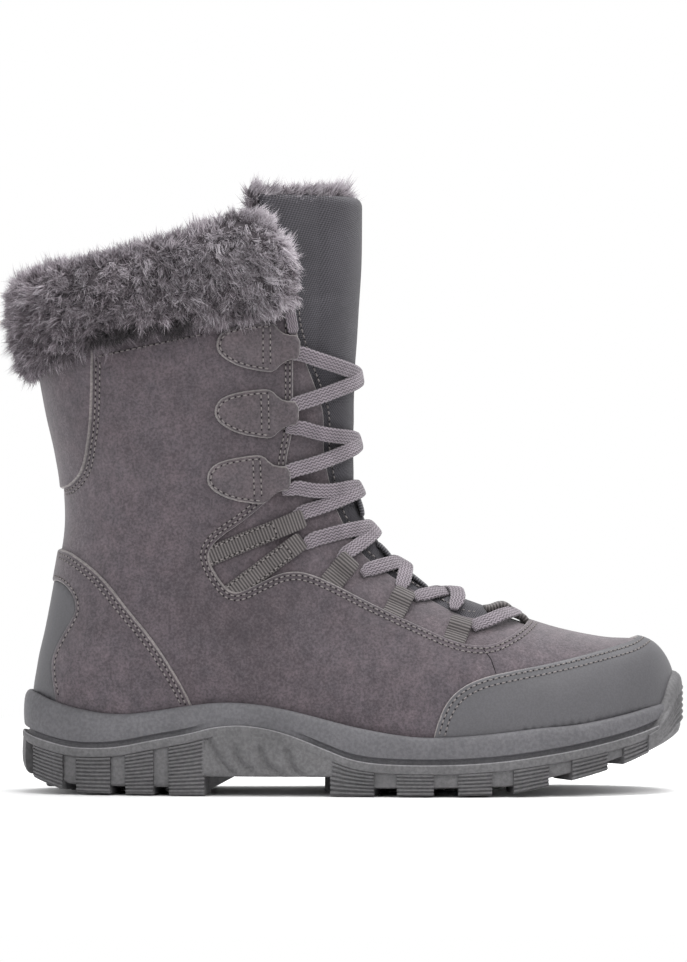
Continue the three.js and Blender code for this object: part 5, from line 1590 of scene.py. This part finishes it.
def outsole():
    stop = foot_x(0.962)
    rim_shares = np.linspace(share_at(stop, -1) - 1, share_at(stop, 1), 620)
    blocks = [seat_block(rim_shares, bead_profile(RIM_ROWS)), web()]
    for side in BOTH:
        blocks += [side_block(start, end, side, lug_profile(True, 0)) for start, end in LUGS]
        for k in LUGS_BEFORE_GAPS:
            blocks.append(side_block(LUGS[k][1] - 0.002, LUGS[k + 1][0] + 0.002, side, gap_profile))
        blocks.append(side_block(0.262, 0.47, side, shank_profile, 0.8))
    toe, heel = foot_x(0.945), foot_x(0.004)
    blocks.append(seat_block(np.linspace(share_at(toe, 1), share_at(toe, -1), 120), bumper_profile))
    blocks.append(seat_block(np.linspace(share_at(heel, -1) - 1, share_at(heel, 1), 80), heel_profile))
    blocks += [tread_bar(along, half) for along, half in TREAD_BARS]
    blocks += [tread_bar(along, half, 1.4) for along, half in GAP_BARS]
    blocks.append(heel_breast())
    points, faces, _ = join_arrays([(*block, []) for block in blocks])
    fit(build("outsole_rubber", points, faces, [OUTSOLE], sharp=32), "outsole_rubber", "outsole")
    # Light band along the rim's top edge: a painted highlight.
    points, faces = seat_block(rim_shares, bead_profile(RIM_HIGHLIGHT_ROWS))
    fit(build("outsole_edge_highlight", points, faces, [RIM_HIGHLIGHT]), "outsole_rubber")


def insole():
    flat = across_sole(90, 4.0, -2.6)
    floor = height_on(FLOOR_LINE, flat[..., 0])
    dish = 2.4 * (2 * ACROSS - 1) ** 4
    points, faces = slab(np.dstack([flat, floor + 0.4]), np.dstack([flat, floor + 4.2 + dish[None, :]]))
    fit(build("insole_sheet", points, faces, [INSOLE_FELT]), "insole_felt", "insole")


CLUMP_RADIUS = 2.4
CLUMP_PULL = 0.42
BLADE_LEVELS = (0.0, 0.6, 1.0)
BLADE_WIDTHS = (0.34, 0.255, 0.0)
BLADE_FACES = np.array([[0, 1, 3], [0, 3, 2], [2, 3, 4]])
BLADE_TONES = np.array([0.0, 0.0, 0.55, 0.55, 1.0])


# Fur: tapering blades in clumps that lean together
def blades(centres, normals, comb, tones, count, seed, length):
    rng = np.random.default_rng(seed)
    clumps = len(centres)
    total = clumps * count
    owner = np.repeat(np.arange(clumps), count)
    out = normals[owner]
    helper = np.where(np.abs(out[:, 2:3]) < 0.8, np.array([[0, 0, 1.0]]), np.array([[1.0, 0, 0]]))
    first = unit(np.cross(out, helper))
    second = np.cross(out, first)
    radius = CLUMP_RADIUS * np.sqrt(rng.uniform(0, 1, total))
    turn = rng.uniform(0, 2 * math.pi, total)
    shift = (radius * np.cos(turn))[:, None] * first + (radius * np.sin(turn))[:, None] * second
    size = rng.uniform(*length, clumps)[owner] * rng.uniform(0.72, 1.08, total)
    lean = comb[owner] + rng.normal(0, 0.18, (total, 3)) + rng.normal(0, 0.26, (clumps, 3))[owner]
    curl = rng.uniform(-1.3, 1.3, clumps)[owner] + rng.normal(0, 0.4, total)
    swirl = np.cos(curl)[:, None] * first + np.sin(curl)[:, None] * second
    side = np.cross(out + lean, shift + 0.01 * first)
    side = unit(side + rng.normal(0, 0.35, (total, 3)) * np.linalg.norm(side, axis=1, keepdims=True))
    rows = []
    for level, wide in zip(BLADE_LEVELS, BLADE_WIDTHS):
        middle = (centres[owner] - 0.6 * out + shift * (1 - CLUMP_PULL * level ** 1.3)
                  + size[:, None] * (out * (level - 0.3 * level ** 2) + lean * level ** 1.5)
                  + 0.8 * math.sin(3.4 * level) * swirl * (size / 9)[:, None])
        rows += [middle - side * wide / 2, middle + side * wide / 2] if wide else [middle]
    points = np.stack(rows, 1)
    faces = BLADE_FACES[None] + (len(rows) * np.arange(total))[:, None, None]
    gain = rng.normal(0, 0.10, total) + rng.normal(0, 0.09, clumps)[owner] + tones[owner]
    tone = BLADE_TONES[None] * (0.78 + gain)[:, None] + 0.5 * gain[:, None] * (BLADE_TONES[None] > 0)
    return points.reshape(-1, 3), faces.reshape(-1, 3), np.clip(tone, 0, 1).reshape(-1)


CUFF_START = 0.93
CUFF_GRID = (150, 44)
CUFF_CLUMPS = 4500
CUFF_SCALE = np.array([46.0, 10.0])
FUR_SINK = 3.6
CUFF_SECTION = np.array([
    [0.02, 0.1], [0, 0.6], [0.15, 1], [0.6, 1], [0.86, 0.85], [0.98, 0.42], [1, -0.2], [0.92, -0.9],
    [0.5, -0.85], [0.45, -0.1],
])


def cuff_grid(columns, per_side):
    section = periodic_smooth(resampled(CUFF_SECTION, per_side, CUFF_SCALE), 2)
    turn = np.linspace(0, 1, columns)
    angle = CUFF_START + turn * 2 * (math.pi - CUFF_START)
    low, high = station_at_line(angle, CUFF_BOTTOM), station_at_line(angle, CUFF_TOP)
    ends = np.minimum(np.arange(columns), np.arange(columns)[::-1]) * 36 / columns
    swell = np.where(ends < 1, 0.55 + 0.35 * ends, np.minimum(0.9 + 0.1 * (ends - 1), 1))
    share = 0.5 + (section[None, :, 0] - 0.5) * (0.4 + 0.6 * swell[:, None])
    depth = section[None, :, 1] * swell[:, None]
    station = low[:, None] + (high - low)[:, None] * share
    offset = depth * np.where(depth > 0, CUFF_DEPTH, CUFF_ROLL)
    return surface(station, angle[:, None]) + normal(station, angle[:, None]) * offset[..., None]


def station_at_line(angle, line):
    def under(station):
        point = surface(station, angle)
        return point[:, 2] < height_on(line, point[:, 0])

    return bisect(under, np.full(len(angle), SHAFT_START), np.full(len(angle), float(LAST)))


# Random places on triangles, as many to each as its area and weight ask for
def scattered(points, faces, count, rng, weight):
    a, b, c = points[faces[:, 0]], points[faces[:, 1]], points[faces[:, 2]]
    cross = np.cross(b - a, c - a)
    chance = np.linalg.norm(cross, axis=1) * weight
    chosen = rng.choice(len(faces), count, p=chance / chance.sum())
    u, v = rng.uniform(0, 1, (2, count))
    flip = u + v > 1
    u, v = np.where(flip, 1 - u, u)[:, None], np.where(flip, 1 - v, v)[:, None]
    return a[chosen] + u * (b - a)[chosen] + v * (c - a)[chosen], unit(cross)[chosen]


def fur_cuff():
    columns, per_side = CUFF_GRID
    grid = cuff_grid(columns, per_side)
    faces = halved(grid_faces(columns, per_side, closed=True))
    points, whole = with_ends(grid.reshape(-1, 3), faces, per_side)
    whole = outward(points, whole)
    inward = grid - grid.mean(1, keepdims=True)
    size = np.linalg.norm(inward, axis=2, keepdims=True)
    shrunk = grid - inward / size * np.minimum(FUR_SINK + 0.8, 0.45 * size)
    backing = np.vstack([shrunk.reshape(-1, 3), points[-2:]])
    fit(build("fur_backing", backing, whole, [FUR], tone=np.full(len(points), 0.12)), "fur", "collar_fur")
    a, b, c = (points[whole[:, k]] for k in range(3))
    away = points[whole].mean(1)[:, :2] - points[:, :2].mean(0)
    outer = (away * np.cross(b - a, c - a)[:, :2]).sum(1) > 0
    rng = np.random.default_rng(21)
    spots, normals = scattered(points, whole, CUFF_CLUMPS, rng, np.where(outer, 1.0, 0.5))
    spots = spots - normals * FUR_SINK
    comb = np.tile([0.0, 0.0, -0.22], (len(spots), 1))
    comb[normals[:, 2] > 0.5] = [0, 0, 0.1]
    x, y, z = spots.T
    # Painted light and shade: the fur is lighter towards the top of the cuff and darker low down; it is also
    # lighter at the front, between x 66 and 120 mm.
    painted_top_light = np.clip((z - 195) / 45, 0, 1)
    tones = 0.2 * painted_top_light + 0.14 * window(x, 66, 120, 10) - 0.08 * (1 - painted_top_light)
    # Painted shade: a dark line along a fold in the fur a few millimetres above the cuff's lower edge, at the
    # back on the outer side.
    fold = z - height_on(CUFF_BOTTOM, x) - np.interp(x, [-3, 40], [6.6, 4.4])
    tones -= 0.5 * np.exp(-((fold / 1.6) ** 2)) * window(x, -6, 46, 5) * (y < 0)
    step = len(spots) // 3
    order = np.argsort(np.arctan2(y, x - 20))
    for number in range(3):
        part = order[number * step:(number + 1) * step]
        piece = blades(spots[part], normals[part], comb[part], tones[part], 35, 31 + number, (5.2, 7.2))
        fit_fur(f"fur_pile_{number + 1}", *piece)


def fit_fur(name, points, faces, tone):
    fit(build(name, points, faces, [FUR], tone=tone, smooth=False), "fur")


def tongue_fur():
    columns, rows = 61, 26
    angles = np.linspace(-1.15, 1.15, columns)
    low = station_at_height(angles, 213.0)
    high = station_at_height(angles, TONGUE_TOP + 1.0)
    share = np.linspace(0, 1, rows)
    station = low[None, :] + (high - low)[None, :] * share[:, None]
    base, out = surface(station, angles), normal(station, angles)
    round_top = 1 - np.sqrt(np.clip(1 - np.clip((share - 0.86) / 0.14, 0, 1) ** 2, 0, 1))
    front = base + out * (-8.2 - 2.2 * round_top)[:, None, None]
    back = base + out * (-12.6 + 2.2 * round_top)[:, None, None]
    points, faces = slab(front, back)
    backing = build("tongue_fur_backing", points, faces, [FUR], tone=np.full(len(points), 0.15))
    fit(backing, "fur", "tongue_fur")
    rng = np.random.default_rng(8)
    weight = np.where(points[faces].mean(1)[:, 2] > TONGUE_TOP - 6, 6.0, 1.0)
    spots, normals = scattered(points, faces, 800, rng, weight)
    keep = (normals[:, 0] < 0.3) | (spots[:, 2] > TONGUE_TOP - 4)
    spots, normals = spots[keep], normals[keep]
    top = spots[:, 2] > TONGUE_TOP - 6
    comb = np.where(top[:, None], [0.15, 0, 0.55], [-0.1, 0, 0.25])
    tones = np.where(top, 0.16, 0.0)
    fit_fur("tongue_fur_pile", *blades(spots, normals, comb, tones, 45, 44, (4.5, 7.0)))


# Plain pale floor that fades into the white surroundings, soft lights and the camera of the photo
def floor_material():
    nodes = Nodes("pale_floor")
    split = nodes.add("ShaderNodeVectorMath", operation="LENGTH")
    nodes.link(nodes.coordinates.outputs["Object"], split.inputs[0])
    fade = nodes.ramp(split.outputs["Value"], (0, 0, 0), (1, 1, 1), 0.25, 0.8)
    grain = nodes.ramp(nodes.noise(40, 2, 0.5), (0.86, 0.86, 0.865), (0.89, 0.89, 0.895), 0.3, 0.7)
    nodes.finish(grain, 0.8, 0.2)
    white = nodes.add("ShaderNodeEmission")
    white.inputs["Color"].default_value = (1, 1, 1, 1)
    white.inputs["Strength"].default_value = 1.0
    mixer = nodes.add("ShaderNodeMixShader")
    nodes.link(fade, mixer.inputs[0])
    nodes.link(nodes.shader.outputs[0], mixer.inputs[1])
    nodes.link(white.outputs[0], mixer.inputs[2])
    output = nodes.tree.nodes["Material Output"]
    nodes.link(mixer.outputs[0], output.inputs["Surface"])
    return nodes.material


def stage():
    turn = np.linspace(0, 2 * math.pi, 97)[:-1]
    rings = np.array([1.0, 150.0, 300.0, 600.0, 1000.0, 1700.0])[:, None]
    flat = [(rings * wave).reshape(-1) for wave in (np.cos(turn), np.sin(turn))]
    points = np.stack([*flat, np.zeros(len(rings) * len(turn))], -1)
    faces = grid_faces(len(rings), len(turn), closed=True)
    floor = build("floor", points, faces, [floor_material()])
    floor.location = (0.1, 0.0, -0.0004)
    floor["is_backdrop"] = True


def area_light(name, location, size, power, color=(1, 1, 1)):
    data = bpy.data.lights.new(name, "AREA")
    data.shape = "DISK"
    data.size = size
    data.energy = power
    data.color = color
    lamp = bpy.data.objects.new(name, data)
    lamp.location = location
    way = Vector((0.1, 0.0, 0.12)) - Vector(location)
    lamp.rotation_euler = way.to_track_quat("-Z", "Y").to_euler()
    bpy.context.scene.collection.objects.link(lamp)


def lights():
    area_light("key", (0.8, -1.15, 1.3), 0.9, 10, (1.0, 0.99, 0.97))
    area_light("fill", (-0.9, -1.2, 0.6), 1.1, 5)
    area_light("top", (0.3, 0.15, 1.5), 1.0, 24)
    world = bpy.data.worlds.new("surroundings")
    world.use_nodes = True
    world.node_tree.nodes["Background"].inputs["Color"].default_value = (1, 1, 1, 1)
    world.node_tree.nodes["Background"].inputs["Strength"].default_value = 1.0
    bpy.context.scene.world = world
    bpy.context.scene.view_settings.view_transform = "Standard"


def camera():
    data = bpy.data.cameras.new("camera")
    data.sensor_width = 36
    data.lens = 214.6
    data.clip_start = 0.05
    data.dof.use_dof = False
    eye = bpy.data.objects.new("camera", data)
    eye.location = (0.1062, -2.5, 0.1347)
    eye.rotation_euler = (math.pi / 2, 0, 0)
    bpy.context.scene.collection.objects.link(eye)
    bpy.context.scene.camera = eye


def plain(box):
    if isinstance(box, dict):
        return {str(k): plain(v) for k, v in box.items()}
    try:
        return [plain(v) for v in box]
    except TypeError:
        return float(box)


upper()
overlays()
facing()
tabs()
tongue()
tongue_fur()
webbing()
guides()
lace()
midsole()
outsole()
insole()
fur_cuff()
stitches()
stage()
lights()
camera()
{"cad": plain(cad_box), "visual": plain(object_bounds())}
